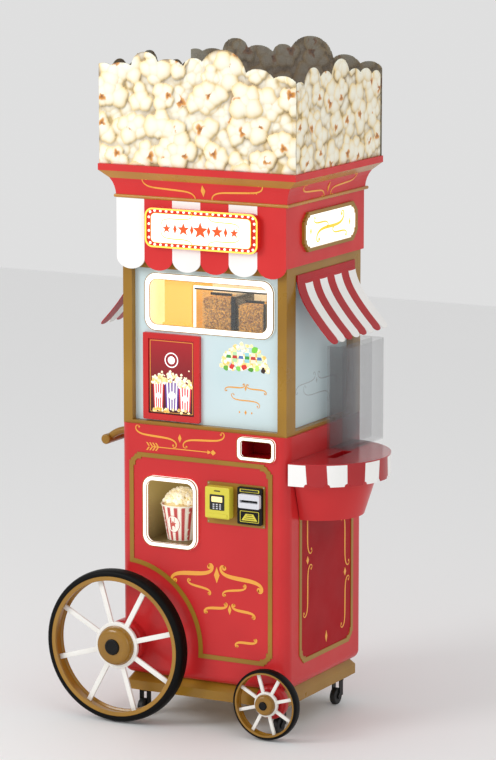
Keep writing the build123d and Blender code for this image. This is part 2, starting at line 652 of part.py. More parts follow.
def popcorn_chute():
    z = (bay_z[1] + 2, popper_z[0] - 0.5)
    return block(chute_x, chute_y, z) - block(grown(chute_x, -sheet), grown(chute_y, -sheet), grown(z, 1))


def control_box():
    """The controller behind the touch screen, open at the back for its wiring."""
    inside_y = (control_y[0] + sheet, control_y[1] + 1)
    inside = block(grown(control_x, -sheet), inside_y, grown(control_z, -sheet))
    return block(control_x, control_y, control_z) - inside


def power_inlet():
    """A flanged appliance inlet below the service door, with its three pins."""
    x, z = inlet_opening
    inlet = block(grown(x, 9), (body_half_y, body_half_y + 3), grown(z, 3))
    inlet += block(grown(x, -0.5), (body_half_y - 22, body_half_y), grown(z, -0.5))
    inlet -= along_y(rounded((grown(x, -2.5), grown(z, -2.5)), 3), (body_half_y - 16, body_half_y + 4))
    for offset_x, offset_z in ((-7, -2), (0, 3), (7, -2)):
        middle_x, middle_z = sum(x) / 2 + offset_x, sum(z) / 2 + offset_z
        inlet += block((middle_x - 1, middle_x + 1), (body_half_y - 17, body_half_y - 2),
                       (middle_z - 3, middle_z + 3))
    return inlet


os.makedirs("parts", exist_ok=True)

write("plinth", [plinth_form(0, plinth_z[2]) - plinth_form(3, plinth_z[2] - 3)])
write("lower_shell", [lower_shell()])
write("upper_frame", [upper_frame()])
write("upper_panels", upper_panels())
panel_y = -frame_half_y + panel_recess
write("window_frame", [ring(window_outer, window_inner, (45, 30), (panel_y - window_proud, panel_y))])
write("window_glass", [along_y(rounded((grown(window_pane[0], -0.5), grown(window_pane[1], -0.5)), 37),
                               (panel_y, panel_y + panel_thick))])
write("screen_bezel", [ring(screen_outer, screen_inner, (5, 2), (panel_y - screen_proud, panel_y))])
write("touch_screen", [along_y(rounded((grown(screen_inner[0], -0.5), grown(screen_inner[1], -0.5)), 2),
                               (panel_y - screen_proud + 4, panel_y))])
write("bag_frame", [ring(slot_outer, slot_inner, (20, 12), (-body_half_y - slot_proud, -body_half_y))])
write("bag_tray", [bag_tray()])
write("pickup_frame", [ring(pickup_outer, pickup_inner, (40, 28),
                            (-body_half_y - pickup_proud, -body_half_y))])
write("pickup_bay", [pickup_bay()])
write("pickup_door", [pickup_door()])
write("popcorn_cup", popcorn_cup())
write("payment_plate", [payment_plate()])
write("card_reader", [card_reader()])
write("bill_acceptor", [bill_acceptor()])
write("bill_mouth", [bill_mouthpiece()])
write("front_trim", [front_trim()])
write("side_trims", both_sides(side_trim()))
write("head_box", [head_box()])
write("front_valance", [valance_strip(i) for i in range(valance_count)])
write("marquee_case", marquee_case())
write("marquee_bulbs", marquee_bulbs())
write("side_signs", [solid for piece in side_sign() for solid in both_sides(piece)])
write("cornice_cove", [tier(cove_levels, 3)])
write("cornice_gold", cornice_gold())
write("cornice_cap", [cornice_cap()])
long_face, short_face = topper_face(long_outline), topper_face(short_outline)
front_y, rear_y = cap_y[0] + 3, cap_y[1] - 3
write("topper_front", [along_y(long_face, (front_y, front_y + topper_thick))])
write("topper_rear", [along_y(long_face, (rear_y - topper_thick, rear_y))])
side_x = cap_half_x - 2 - topper_thick
write("topper_sides", both_sides(along_x(short_face, (side_x, side_x + topper_thick))))
write("awnings", both_sides(awning()))
write("shelf_top", [shelf_top()])
write("shelf_skirt", [shelf_skirt()])
write("shelf_bin", [shelf_bin()])
write("leaflet_holder", [leaflet_holder()])
write("push_handle", [push_handle()])
write("wheel_mounts", [wheel_mount(big), wheel_mount(small)])
for name, wheel in (("big", big), ("small", small)):
    write(f"{name}_tyre", [wheel_tyre(wheel)])
    write(f"{name}_rim", [wheel_rim(wheel)])
    write(f"{name}_spokes", wheel_spokes(wheel))
    write(f"{name}_hub", wheel_hub(wheel))
write("castor_plates", [castor_plate_at(x, y) for x, y in castor_spots()])
for name, (x, y) in zip(castor_names, castor_spots()):
    write(f"castor_fork_{name}", [castor_fork(x, y)])
    write(f"castor_wheel_{name}", [castor_wheel(x, y)])
write("rear_door", [rear_door()])
write("door_hinges", door_hinges())
write("door_lock", [door_lock()])
write("kernel_hoppers", kernel_hoppers())
write("popping_chamber", popping_chamber())
write("popcorn_chute", [popcorn_chute()])
write("control_box", [control_box()])
write("power_inlet", [power_inlet()])
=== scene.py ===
import math
import bmesh
import bpy
import numpy as np
from mathutils import Matrix, Vector


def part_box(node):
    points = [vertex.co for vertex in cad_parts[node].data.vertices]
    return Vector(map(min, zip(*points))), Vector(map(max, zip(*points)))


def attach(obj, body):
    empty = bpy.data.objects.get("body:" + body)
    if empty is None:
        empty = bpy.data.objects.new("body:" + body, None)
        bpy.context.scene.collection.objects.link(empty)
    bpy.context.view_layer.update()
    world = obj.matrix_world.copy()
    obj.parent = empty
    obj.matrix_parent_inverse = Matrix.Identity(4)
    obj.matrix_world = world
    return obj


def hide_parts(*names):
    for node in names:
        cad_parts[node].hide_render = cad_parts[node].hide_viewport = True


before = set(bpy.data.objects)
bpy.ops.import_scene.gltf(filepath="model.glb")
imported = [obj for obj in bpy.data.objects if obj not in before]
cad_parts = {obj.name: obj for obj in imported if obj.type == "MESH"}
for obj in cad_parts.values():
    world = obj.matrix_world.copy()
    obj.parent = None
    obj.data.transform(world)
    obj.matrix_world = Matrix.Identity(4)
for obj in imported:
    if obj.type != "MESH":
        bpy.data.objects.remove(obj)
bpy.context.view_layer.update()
scene = bpy.context.scene
scene.view_settings.view_transform = "Standard"
mm = 0.001  # one millimetre in the scene's metres
sides = {"Right": 1, "Left": -1}


def span(node):
    low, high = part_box(node)
    return [(low[i] / mm, high[i] / mm) for i in range(3)]  # x, y and z pairs in millimetres


def linear(code):
    code = code.lstrip("#")
    parts = [int(code[i:i + 2], 16) / 255 for i in (0, 2, 4)]
    return tuple(c / 12.92 if c <= 0.04045 else ((c + 0.055) / 1.055) ** 2.4 for c in parts) + (1.0,)


def addNode(tree, kind, links=None, props=None, **values):
    # one node with its settings; links maps an input name or index to another node's output
    node = tree.nodes.new(kind)
    for key, value in (props or {}).items():
        setattr(node, key, value)
    for key, value in values.items():
        node.inputs[key.replace("_", " ")].default_value = value
    for key, output in (links or {}).items():
        tree.links.new(output, node.inputs[key])
    return node


def newMaterial(name, **shader):
    material = bpy.data.materials.new(name)
    material.use_nodes = True
    tree = material.node_tree
    surface = tree.nodes["Principled BSDF"]
    for key, value in shader.items():
        surface.inputs[key.replace("_", " ")].default_value = value
    return material, tree, surface


def mixColours(tree, factor, first, second):
    mix = addNode(tree, "ShaderNodeMix", props={"data_type": "RGBA"})
    tree.links.new(factor, mix.inputs[0])
    for slot, colour in ((6, first), (7, second)):
        if isinstance(colour, tuple):
            mix.inputs[slot].default_value = colour
        else:
            tree.links.new(colour, mix.inputs[slot])
    return mix.outputs[2]


def noise(tree, size, detail=3.0, stretch=None):
    # noise whose blobs are about size millimetres across, on object coordinates
    place = addNode(tree, "ShaderNodeTexCoord").outputs["Object"]
    if stretch:
        place = addNode(tree, "ShaderNodeMapping", {"Vector": place}, Scale=stretch).outputs[0]
    return addNode(tree, "ShaderNodeTexNoise", {"Vector": place}, Scale=1000 / size, Detail=detail)


def ramp(tree, value, low, high, start=0.0, end=1.0):
    return addNode(tree, "ShaderNodeMapRange", {"Value": value},
                   From_Min=low, From_Max=high, To_Min=start, To_Max=end).outputs[0]


def varyGloss(tree, surface, pattern, low, high, top=0.7):
    # roughness that drifts between low and high with a pattern
    tree.links.new(ramp(tree, pattern.outputs[0], 0.3, top, low, high), surface.inputs["Roughness"])


def addBump(tree, surface, height, strength, depth):
    bump = addNode(tree, "ShaderNodeBump", {"Height": height}, Strength=strength, Distance=depth * mm)
    tree.links.new(bump.outputs[0], surface.inputs["Normal"])


def paintedSteel(name, colour, shade, roughness, peel=3.5, coat=0.0, shine=0.3):
    # powder coat sprayed on sheet steel: even colour, a very fine orange peel, slightly duller where handled
    material, tree, surface = newMaterial(name, Roughness=roughness, Coat_Weight=coat, Coat_Roughness=0.12,
                                          Specular_IOR_Level=shine)
    patch = noise(tree, 260, 2)
    colourOut = mixColours(tree, ramp(tree, patch.outputs[0], 0.35, 0.7), linear(colour), linear(shade))
    tree.links.new(colourOut, surface.inputs["Base Color"])
    varyGloss(tree, surface, noise(tree, 90, 4), roughness - 0.05, roughness + 0.09, 0.75)
    addBump(tree, surface, noise(tree, peel, 2).outputs[0], 0.18, 0.25)
    return material


redCoat = paintedSteel("redPowderCoat", "#CF2A2C", "#C42427", 0.34, coat=0.12)
# brushed-on enamel, wet-looking
redGloss = paintedSteel("redGlossEnamel", "#B3161C", "#A30F17", 0.16, coat=0.6)
redHead = paintedSteel("redHeadPowderCoat", "#DA2B2B", "#CE2526", 0.36, coat=0.12)
redDeep = paintedSteel("redPanelEnamel", "#A90412", "#9C0310", 0.42, shine=0.12)
goldCoat = paintedSteel("goldEnamel", "#A57B26", "#92691C", 0.32, peel=2.5, coat=0.15)
goldBright = paintedSteel("goldEnamelTurned", "#A87B28", "#8C641B", 0.22, peel=2.5, coat=0.4)
# the cornice band gets a lighter, warmer copy of the gold enamel: painted highlight for the light the band
# catches
goldCorniceHighlight = paintedSteel("goldCornicePaintedHighlight", "#C58A35", "#AE772A", 0.28, peel=2.5, coat=0.3)
paleBlue = paintedSteel("paleBluePowderCoat", "#D6E8EB", "#CCE1E5", 0.40)
whiteCoat = paintedSteel("whiteEnamel", "#FAF9F4", "#EFEEE8", 0.28, coat=0.4)
screenRed = paintedSteel("bezelRedEnamel", "#D3201F", "#C41A1C", 0.30, coat=0.4)


def mouldedPlastic(name, colour, roughness, grain=1.6, shine=0.5):
    # injection moulded, spark-eroded texture: soft sparkle-free highlights
    material, tree, surface = newMaterial(name, Base_Color=linear(colour), IOR=1.5, Specular_IOR_Level=shine)
    fine = noise(tree, grain, 3)
    varyGloss(tree, surface, fine, roughness - 0.06, roughness + 0.06)
    addBump(tree, surface, fine.outputs[0], 0.22, 0.15)
    return material


blackPlastic = mouldedPlastic("blackAbs", "#070606", 0.42, shine=0.25)
yellowPlastic = mouldedPlastic("yellowAbs", "#DCD040", 0.32)
greyPlastic = mouldedPlastic("paleGreyAbs", "#DDDDE4", 0.35)
displayBlack = mouldedPlastic("blackGlassPolycarbonate", "#050506", 0.12)
tyreRubber = mouldedPlastic("solidTyreRubber", "#040303", 0.5, grain=2.2, shine=0.14)
castorRubber = mouldedPlastic("castorTreadRubber", "#141414", 0.55)


def litPlastic(name, colour, glow, strength):
    # opal acrylic with leds behind: nearly white, no visible lamps, a faint gloss on top. On the gold and grey
    # vinyl on painted steel and on the window liner the same glow is painted light
    material, tree, surface = newMaterial(name, Base_Color=linear(colour), Roughness=0.25, IOR=1.49,
                                          Emission_Color=linear(glow), Emission_Strength=strength)
    addBump(tree, surface, noise(tree, 30, 1).outputs[0], 0.05, 0.2)
    return material


opalWhite = litPlastic("opalAcrylicWhite", "#FFFDF6", "#FFFBF0", 0.75)
opalWarm = litPlastic("opalAcrylicWarm", "#FFE9A8", "#FFD873", 0.55)
bulbGlow = litPlastic("bulbGlass", "#FFFFFF", "#FFF6E8", 0.9)
rimGlow = litPlastic("signRimAcrylic", "#FFD257", "#FFC23A", 0.7)
signRed = litPlastic("signBandRedAcrylic", "#C4231C", "#B81E17", 0.25)
# goldVinyl is film on painted steel and the cove, no lamp: its faint glow is painted light
printGold = litPlastic("goldVinyl", "#E8A23C", "#D08A2A", 0.12)  # cut vinyl film, flat and slightly satin
printOrange = litPlastic("orangeVinyl", "#E8551E", "#D84A18", 0.35)
printYellow = litPlastic("yellowVinyl", "#F3D534", "#E8C828", 0.35)
# the cream liner behind the window glows: painted light for the lit inside of the window
creamLinerGlow = litPlastic("creamLinerPaintedGlow", "#FFF3DC", "#FFEFC8", 0.42)
amberLit = litPlastic("amberHoodGlass", "#F0B84E", "#EFA93A", 0.42)


def clearSheet(name, colour, alpha, roughness):
    # cast acrylic or glass seen thin: mostly what is behind it, with a sharp gloss
    material, tree, surface = newMaterial(name, Base_Color=linear(colour), Alpha=alpha, IOR=1.49)
    varyGloss(tree, surface, noise(tree, 120, 3), roughness, roughness + 0.08)
    return material


smokyAcrylic = clearSheet("smokyAcrylic", "#AEB0B3", 0.15, 0.08)
paneGlass = clearSheet("paneGlass", "#F6FAFA", 0.04, 0.03)
hopperAcrylic = clearSheet("hopperAcrylic", "#FFF3D0", 0.05, 0.06)


def brushedSteel(name, colour, roughness):
    # rolled stainless sheet: grain drawn out along x
    material, tree, surface = newMaterial(name, Base_Color=linear(colour), Metallic=1.0)
    grain = noise(tree, 3, 2, stretch=(0.08, 1, 1))
    varyGloss(tree, surface, grain, roughness - 0.06, roughness + 0.1)
    addBump(tree, surface, grain.outputs[0], 0.12, 0.1)
    return material


steel = brushedSteel("brushedStainless", "#B9B4A8", 0.34)
zinc = brushedSteel("zincPlatedSteel", "#8B8C8E", 0.45)
# satin sheet that the lamp above washes with light, brighter towards its top
bayLiner, tree, surface = newMaterial("bayLinerSheet", Base_Color=linear("#8A7A52"), Roughness=0.45,
                                      Metallic=0.3)
place = addNode(tree, "ShaderNodeTexCoord").outputs["Object"]
height = addNode(tree, "ShaderNodeSeparateXYZ", {"Vector": place})
surface.inputs["Emission Color"].default_value = linear("#E8C878")
tree.links.new(ramp(tree, height.outputs["Z"], 0.65, 0.89, 0.02, 0.30), surface.inputs["Emission Strength"])


def stripedByAttribute(name, roughness, attribute="print", glow=0.0, grain=0.10):
    # printed face: ink colours come from the piece's own attribute under a satin film
    material, tree, surface = newMaterial(name, Roughness=roughness)
    ink = addNode(tree, "ShaderNodeAttribute", props={"attribute_name": attribute})
    dots = noise(tree, 2.5, 2)
    speck = ramp(tree, dots.outputs[0], 0.35, 0.65, 0.0, grain)
    tone = mixColours(tree, speck, ink.outputs["Color"], linear("#FFF6DA"))
    tree.links.new(tone, surface.inputs["Base Color"])
    # glow makes the ink give off light of its own: painted light on the popcorn, the kernels, the paper cup
    # and the printed flavour picture, the display's own light on the touch screen
    if glow:
        tree.links.new(tone, surface.inputs["Emission Color"])
        surface.inputs["Emission Strength"].default_value = glow
    addBump(tree, surface, dots.outputs[0], 0.08, 0.15)
    return material


popcornPrint = stripedByAttribute("popcornPrintFilm", 0.42)
# a darkened copy of the print for the topper's inner faces: painted shade
popcornPaintedShade = stripedByAttribute("popcornPrintShaded", 0.6, "shade")
# poppedCorn, driedMaize and printedPaperCup glow a little: painted light, none of them is a lamp
popcornSkin = stripedByAttribute("poppedCorn", 0.55, glow=0.30)
kernelSkin = stripedByAttribute("driedMaize", 0.28, glow=0.16, grain=0.0)
paperPrint = stripedByAttribute("printedPaperCup", 0.48, glow=0.22)
screenPicture = stripedByAttribute("screenPicture", 0.45, glow=0.35, grain=0.0)


def stripeEnamel(name, colour, shade, roughness=0.22):
    return paintedSteel(name, colour, shade, roughness, peel=4, coat=0.1, shine=0.2)


stripeWhite = stripeEnamel("stripeWhiteEnamel", "#FDFDFB", "#F4F3EF")
awningRed = stripeEnamel("awningRedEnamel", "#BC0A18", "#A80815", 0.34)
print("finishes ready")


def settle(piece, body, replaces):
    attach(piece, body)
    if replaces:
        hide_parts(*replaces)
    return piece


def makePiece(name, points, faces, materials, body="cabinet", slot=None, replaces=(), smooth=False,
              pick=None, bevel=0.0, fix=True):
    # points in millimetres; pick gives each face its material number
    mesh = bpy.data.meshes.new(name)
    mesh.from_pydata([tuple(p) for p in np.asarray(points, float) * mm], [], [tuple(f) for f in faces])
    piece = bpy.data.objects.new(name, mesh)
    scene.collection.objects.link(piece)
    for material in materials:
        mesh.materials.append(material)
    if pick is not None:
        mesh.polygons.foreach_set("material_index", np.asarray(pick, np.int32))
    if fix or bevel:
        work = bmesh.new()
        work.from_mesh(mesh)
        if fix:
            bmesh.ops.recalc_face_normals(work, faces=work.faces)
        if bevel:
            edges = [e for e in work.edges if len(e.link_faces) == 2 and e.calc_face_angle(0) > 0.6]
            bmesh.ops.bevel(work, geom=edges, offset=bevel * mm, segments=3, profile=0.5, affect="EDGES",
                            clamp_overlap=True)
        work.to_mesh(mesh)
        work.free()
    if smooth:
        mesh.shade_smooth()
        if smooth != "all":
            mesh.set_sharp_from_angle(angle=math.radians(35))
    mesh.update()
    return settle(piece, body, replaces)


def lay(name, shape, place, material, slot, **more):
    # one closed shape of one finish; place turns its own coordinates into the cabinet's
    points, faces = shape[:2]
    return makePiece(name, place(points) if place else points, faces, [material], slot=slot, **more)


def joinShapes(shapes):
    # several (points, faces) made one, with the shape's number for each face
    points, faces, owner, base = [], [], [], 0
    for number, (some, loops) in enumerate(shapes):
        points.append(np.asarray(some, float))
        faces += [tuple(base + i for i in loop) for loop in loops]
        owner += [number] * len(loops)
        base += len(some)
    return np.concatenate(points), faces, np.array(owner)


def arcPoints(cx, cz, radius, start, end, steps):
    turn = np.radians(np.linspace(start, end, steps + 1))
    return np.stack([cx + radius * np.cos(turn), cz + radius * np.sin(turn)], 1)


def roundRect(a, b, radius, steps=8):
    # counter-clockwise outline of a rectangle with round corners
    (a0, a1), (b0, b1) = a, b
    corners = [(a1 - radius, b1 - radius, 0), (a0 + radius, b1 - radius, 90),
               (a0 + radius, b0 + radius, 180), (a1 - radius, b0 + radius, 270)]
    return np.concatenate([arcPoints(cx, cz, radius, t, t + 90, steps) for cx, cz, t in corners])


def prism(outline, near, far):
    # a flat outline given thickness: (points, faces) in outline coordinates plus depth
    n = len(outline)
    points = [(u, v, near) for u, v in outline] + [(u, v, far) for u, v in outline]
    faces = [tuple(range(n)), tuple(range(2 * n - 1, n - 1, -1))]
    faces += [(i, n + i, n + (i + 1) % n, (i + 1) % n) for i in range(n)]
    return np.array(points), faces


def ringPrism(outer, inner, near, far):
    # the band between two outlines that have the same number of points
    n = len(outer)
    rings = ((outer, near), (inner, near), (inner, far), (outer, far))
    points = [(u, v, d) for line, d in rings for u, v in line]
    faces = []
    for row in range(4):
        a, b = row * n, (row + 1) % 4 * n
        faces += [(a + i, a + (i + 1) % n, b + (i + 1) % n, b + i) for i in range(n)]
    return np.array(points), faces


def onFront(points):
    # outline (x, z, y) to (x, y, z)
    return points[:, [0, 2, 1]]


def onSide(points):
    # outline (y, z, x) to (x, y, z)
    return points[:, [2, 0, 1]]


def mirrored(side):
    # the same as onSide on the customer's right, mirrored on the left
    def place(points):
        return onSide(points) * (side, 1, 1)
    return place


def onFace(level):
    # an outline (x, z) and its film height, laid on a face at y = level that looks at the customer
    def place(points):
        return np.stack([points[:, 0], level - points[:, 2], points[:, 1]], 1)
    return place


def bittenRect(a, b, bite):
    # outline of a rectangle with a quarter round bitten out of each corner
    outline = []
    corners = ((a[1], b[1], -1, -1), (a[0], b[1], 1, -1), (a[0], b[0], 1, 1), (a[1], b[0], -1, 1))
    for ca, cb, sa, sb in corners:
        corner = [(ca + sa * abs(u), cb + sb * abs(v)) for u, v in arcPoints(0, 0, bite, 0, 90, 8)]
        outline += corner if sa * sb < 0 else corner[::-1]
    return outline


def grow(pair, by):
    return (pair[0] - by, pair[1] + by)


def turned(profile, segments=64):
    # a (radius, height) line turned about its own axis; ends on the axis are closed with a point
    points, faces, rows = [], [], []
    for radius, height in profile:
        if radius < 1e-6:
            rows.append([len(points)] * segments)
            points.append((0, 0, height))
        else:
            rows.append([len(points) + k for k in range(segments)])
            points += [(radius * math.cos(2 * math.pi * k / segments),
                        radius * math.sin(2 * math.pi * k / segments), height) for k in range(segments)]
    for a, b in zip(rows, rows[1:]):
        for k in range(segments):
            loop = [a[k], a[(k + 1) % segments], b[(k + 1) % segments], b[k]]
            loop = [v for i, v in enumerate(loop) if v not in loop[:i]]
            if len(loop) > 2:
                faces.append(tuple(loop))
    return np.array(points, float), faces


def boxMesh(x, y, z):
    points = [(a, b, c) for c in z for b in y for a in x]
    faces = [(0, 2, 3, 1), (4, 5, 7, 6), (0, 1, 5, 4), (2, 6, 7, 3), (0, 4, 6, 2), (1, 3, 7, 5)]
    return np.array(points), faces


def paint(piece, colours, name="print"):
    layer = piece.data.attributes.new(name, "FLOAT_COLOR", "POINT")
    layer.data.foreach_set("color", np.asarray(colours, np.float32).ravel())


def shadeNode(node, material):
    # a CAD node whose shape is right keeps its mesh and gets its real finish
    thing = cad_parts[node]
    thing.data.materials.clear()
    thing.data.materials.append(material)


finishes = {  # CAD pieces whose shape is right and that only need their finish
    "plinth": goldCoat, "lower_shell": redCoat, "upper_frame": goldCoat, "upper_panels": paleBlue,
    "window_glass": paneGlass, "screen_bezel": screenRed, "pickup_bay": bayLiner, "payment_plate": goldCoat,
    "front_trim": goldCoat, "side_trims": goldCoat, "head_box": redHead, "cornice_gold": goldCorniceHighlight,
    "cornice_cap": redHead, "cornice_cove": redHead, "shelf_top": redGloss, "shelf_bin": redCoat,
    "leaflet_holder": smokyAcrylic, "push_handle": goldCoat, "wheel_mounts": redCoat, "castor_plates": zinc,
    "door_hinges": steel, "kernel_hoppers": hopperAcrylic, "popping_chamber": amberLit,
    "popcorn_chute": steel, "control_box": zinc, "power_inlet": blackPlastic, "pickup_door": hopperAcrylic,
    "rear_door": redCoat, "door_lock": blackPlastic, "marquee_bulbs": bulbGlow,
    "window_frame": opalWhite, "pickup_frame": opalWhite,
}
for node, material in finishes.items():
    shadeNode(node, material)
for corner in ("front_left", "front_right", "rear_left", "rear_right"):
    shadeNode(f"castor_fork_{corner}", blackPlastic)
    shadeNode(f"castor_wheel_{corner}", castorRubber)
print("CAD finishes set")


wheelSizes = {  # cap radius, and half a spoke's width as a share of the tyre's radius
    "big": {"cap": 28, "spoke": 0.033},
    "small": {"cap": 14.5, "spoke": 0.046},
}


def makeWheel(label, cap, spoke):
    tyreX, tyreY, tyreZ = span(f"{label}_tyre")
    radius, front, back = (tyreZ[1] - tyreZ[0]) / 2, -tyreY[0], -tyreY[1]
    hubX, hubY, _ = span(f"{label}_hub")
    hub = 1.05 * (hubX[1] - hubX[0]) / 2
    rimX = span(f"{label}_rim")[0]
    rim = (rimX[1] - rimX[0]) / 2
    lip = 0.938 * rim
    middle = (front + back) / 2
    depth, unit = radius - rim, rim - lip

    def fit(part, shape, material, slot, node="", bevel=0.0):
        # made about +Z, +Z towards the customer, and turned here onto the wheel's axle
        p, faces = shape
        placed = np.stack([sum(tyreX) / 2 + p[:, 0], -p[:, 2], sum(tyreZ) / 2 + p[:, 1]], 1)
        makePiece(f"{label}{part}", placed, faces, [material], f"{label}_wheel", slot,
                  [f"{label}_{node}"] if node else (), True, bevel=bevel)

    # tyre: a rounded solid section
    curve = [(rim + depth * (0.25 + 0.75 * max(c, 0) ** 0.55), middle + s * (front - back) / 2)
             for c, s in arcPoints(0, 0, 1, -90, 90, 14)]
    fit("Tyre", turned([(rim, back), *curve, (rim, front), (rim, back)], 96), tyreRubber, "tyre_black", "tyre")
    # rim: rolled lips with two raised beads and grooves in the barrel, as (share of the wall, place)
    barrel = [(0, front - 4.5), (0.25, front - 6.5), (0.25, front - 9), (0.1, front - 11), (0.1, front - 13.5),
              (0.45, front - 16), (0.45, back + 9), (0.1, back + 6), (0, back + 1.4)]
    profile = [(rim, back + 1), (rim, front - 1), (rim - 1.2, front), (lip + 1.2, front), (lip, front - 1.4)]
    profile += [(lip + share * unit, place) for share, place in barrel]
    profile += [(lip + 1.2, back), (rim - 1.2, back), (rim, back + 1)]
    fit("Rim", turned(profile, 96), goldBright, "gold_paint", "rim")
    # spokes and flange: flat bars let into a round plate
    flange = 1.18 * hub
    shapes = [turned([(flange * 0.3, middle - 7), (flange - 1.5, middle - 7), (flange, middle - 5.5),
                      (flange, middle + 5.5), (flange - 1.5, middle + 7), (flange * 0.3, middle + 7)], 72)]
    width, end = spoke * radius, lip + 0.42 * unit
    for k in range(8):
        turn = math.radians(16.5 + 45 * k)
        bar, loops = prism(roundRect((flange - 4, end), (-width, width), 1.2, 2), middle - 4, middle + 4)
        c, s = math.cos(turn), math.sin(turn)
        spun = np.stack([bar[:, 0] * c - bar[:, 1] * s, bar[:, 0] * s + bar[:, 1] * c, bar[:, 2]], 1)
        shapes.append((spun, loops))
    fit("Spokes", joinShapes(shapes)[:2], whiteCoat, "white_paint", "spokes", 0.8)
    # hub: a spun dome with a stepped foot, and the black cap let into it
    nose, low = -hubY[0], middle + 7
    rise = nose - 5 - low
    waist = hub * 0.965
    dome = [(hub * 0.3, low), (hub, low), (hub, low + 0.16 * rise), (waist, low + 0.2 * rise)]
    dome += [(cap + 4 + (waist - cap - 4) * max(c, 0) ** 0.5, low + (0.22 + 0.78 * s) * rise)
             for c, s in arcPoints(0, 0, 1, 0, 90, 12)]
    dome += [(cap + 1, low + rise), (cap + 0.6, low + rise - 2), (hub * 0.3, low + rise - 2), (hub * 0.3, low)]
    fit("HubDome", turned(dome, 72), goldBright, "gold_paint", "hub")
    button = [(0, nose - 7), (cap, nose - 7), (cap, nose - 2.2), (cap - 0.8, nose - 0.8), (cap - 2.4, nose),
              (cap * 0.72, nose), (cap * 0.68, nose - 1.2), (0, nose - 1.2)]
    fit("HubCap", turned(button, 48), blackPlastic, "black_plastic")


for label, sizes in wheelSizes.items():
    makeWheel(label, **sizes)
print("wheels built")


def ribbon(path, width):
    # a flat strip following a line, width given at each point
    path = np.asarray(path, float)
    along = np.gradient(path, axis=0)
    along /= np.linalg.norm(along, axis=1)[:, None] + 1e-9
    across = np.stack([-along[:, 1], along[:, 0]], 1) * np.asarray(width)[:, None] / 2
    return np.concatenate([path + across, (path - across)[::-1]])


def stripFaces(count):
    return [(i, i + 1, 2 * count - 2 - i, 2 * count - 1 - i) for i in range(count - 1)]


def scrollLine(length, wind, bend=0.0, steps=96):
    # a line that runs almost straight in its middle and winds up at both ends, opposite ways
    s = np.linspace(-1, 1, steps)
    heading = bend * s * s / 2 + wind * np.abs(s) ** 5.5
    line = np.cumsum(np.stack([np.cos(heading), np.sin(heading)], 1), axis=0)
    line -= (line[0] + line[-1]) / 2
    line *= length / (line[:, 0].max() - line[:, 0].min())
    taper = np.clip(np.cos(s * math.pi / 2) ** 0.5, 0.34, 1)
    return line, taper


def dot(centre, radius, steps=14):
    return arcPoints(centre[0], centre[1], radius, 0, 360, steps)[:-1]


def diamond(centre, wide, tall):
    x, z = centre
    return np.array([(x + wide / 2, z), (x, z + tall / 2), (x - wide / 2, z), (x, z - tall / 2)])


def flourish(centre, length, thick, wind=4.6, bend=0.9, turn=0.0, mirror=False):
    # one scroll with ball ends, as flat outlines: ribbons have their own faces, balls are plain polygons
    line, taper = scrollLine(length, wind, bend)
    if mirror:
        line = line * (1, -1)
    c, s = math.cos(math.radians(turn)), math.sin(math.radians(turn))
    line = np.stack([line[:, 0] * c - line[:, 1] * s, line[:, 0] * s + line[:, 1] * c], 1) + centre
    shapes = [(ribbon(line, thick * taper), stripFaces(len(line)))]
    for end in (line[0], line[-1]):
        shapes += flat(dot(end, thick * 0.55))
    return shapes


def flat(outline):
    return [(np.asarray(outline, float), [tuple(range(len(outline)))])]


def raised(shapes, low, high):
    # flat shapes given their film thickness: a front, a back and an edge for each
    out = []
    for outline, loops in shapes:
        n = len(outline)
        points = np.concatenate([np.column_stack([outline, np.full(n, d)]) for d in (low, high)])
        faces = list(loops) + [tuple(n + i for i in loop[::-1]) for loop in loops]
        faces += [(i, n + i, n + (i + 1) % n, (i + 1) % n) for i in range(n)]
        out.append((points, faces))
    return out


def decorate(name, shapes, place, low, high, material, slot="gold_paint", replaces=()):
    points, faces, _ = joinShapes(raised(shapes, low, high))
    return makePiece(name, place(points), faces, [material], slot=slot, replaces=replaces)


def flakeField(width, height, size, rng):
    # popcorn thrown on a flat field in two layers: each flake is some puffs round a golden hull
    # one row for each puff: its centre, radius, lift, whether it is a hull, and the roughness of its edge
    puffs = []
    for gap, low, high, hulls in ((0.60, 0.0, 0.12, 0.25), (0.86, 0.42, 0.78, 0.75)):
        gap *= size
        for row in range(int(height / gap) + 3):
            for column in range(int(width / gap) + 3):
                cx = (column - 0.6 + 0.5 * (row % 2)) * gap + rng.normal(0, gap * 0.16)
                cy = (row - 0.5) * gap + rng.normal(0, gap * 0.16)
                lift, lean, broad = rng.uniform(low, high), rng.random() * 6.3, rng.uniform(0.85, 1.2) * size
                lobes = rng.integers(3, 6)
                for k in range(lobes):
                    a = lean + k * 6.283 / lobes + rng.normal(0, 0.3)
                    reach = broad * rng.uniform(0.19, 0.29)
                    radius = broad * rng.uniform(0.20, 0.31)
                    puffs.append((cx + math.cos(a) * reach, cy + math.sin(a) * reach, radius,
                                  lift + rng.uniform(0, 0.1), 0, rng.random() * 6))
                puffs.append((cx, cy, broad * 0.26, lift + 0.06, 0, rng.random() * 6))
                if rng.random() < hulls:
                    a = rng.random() * 6.3
                    radius = broad * rng.uniform(0.11, 0.17)
                    puffs.append((cx + math.cos(a) * broad * 0.16, cy + math.sin(a) * broad * 0.16, radius,
                                  lift + 0.30, 1, rng.random() * 6))
    return puffs


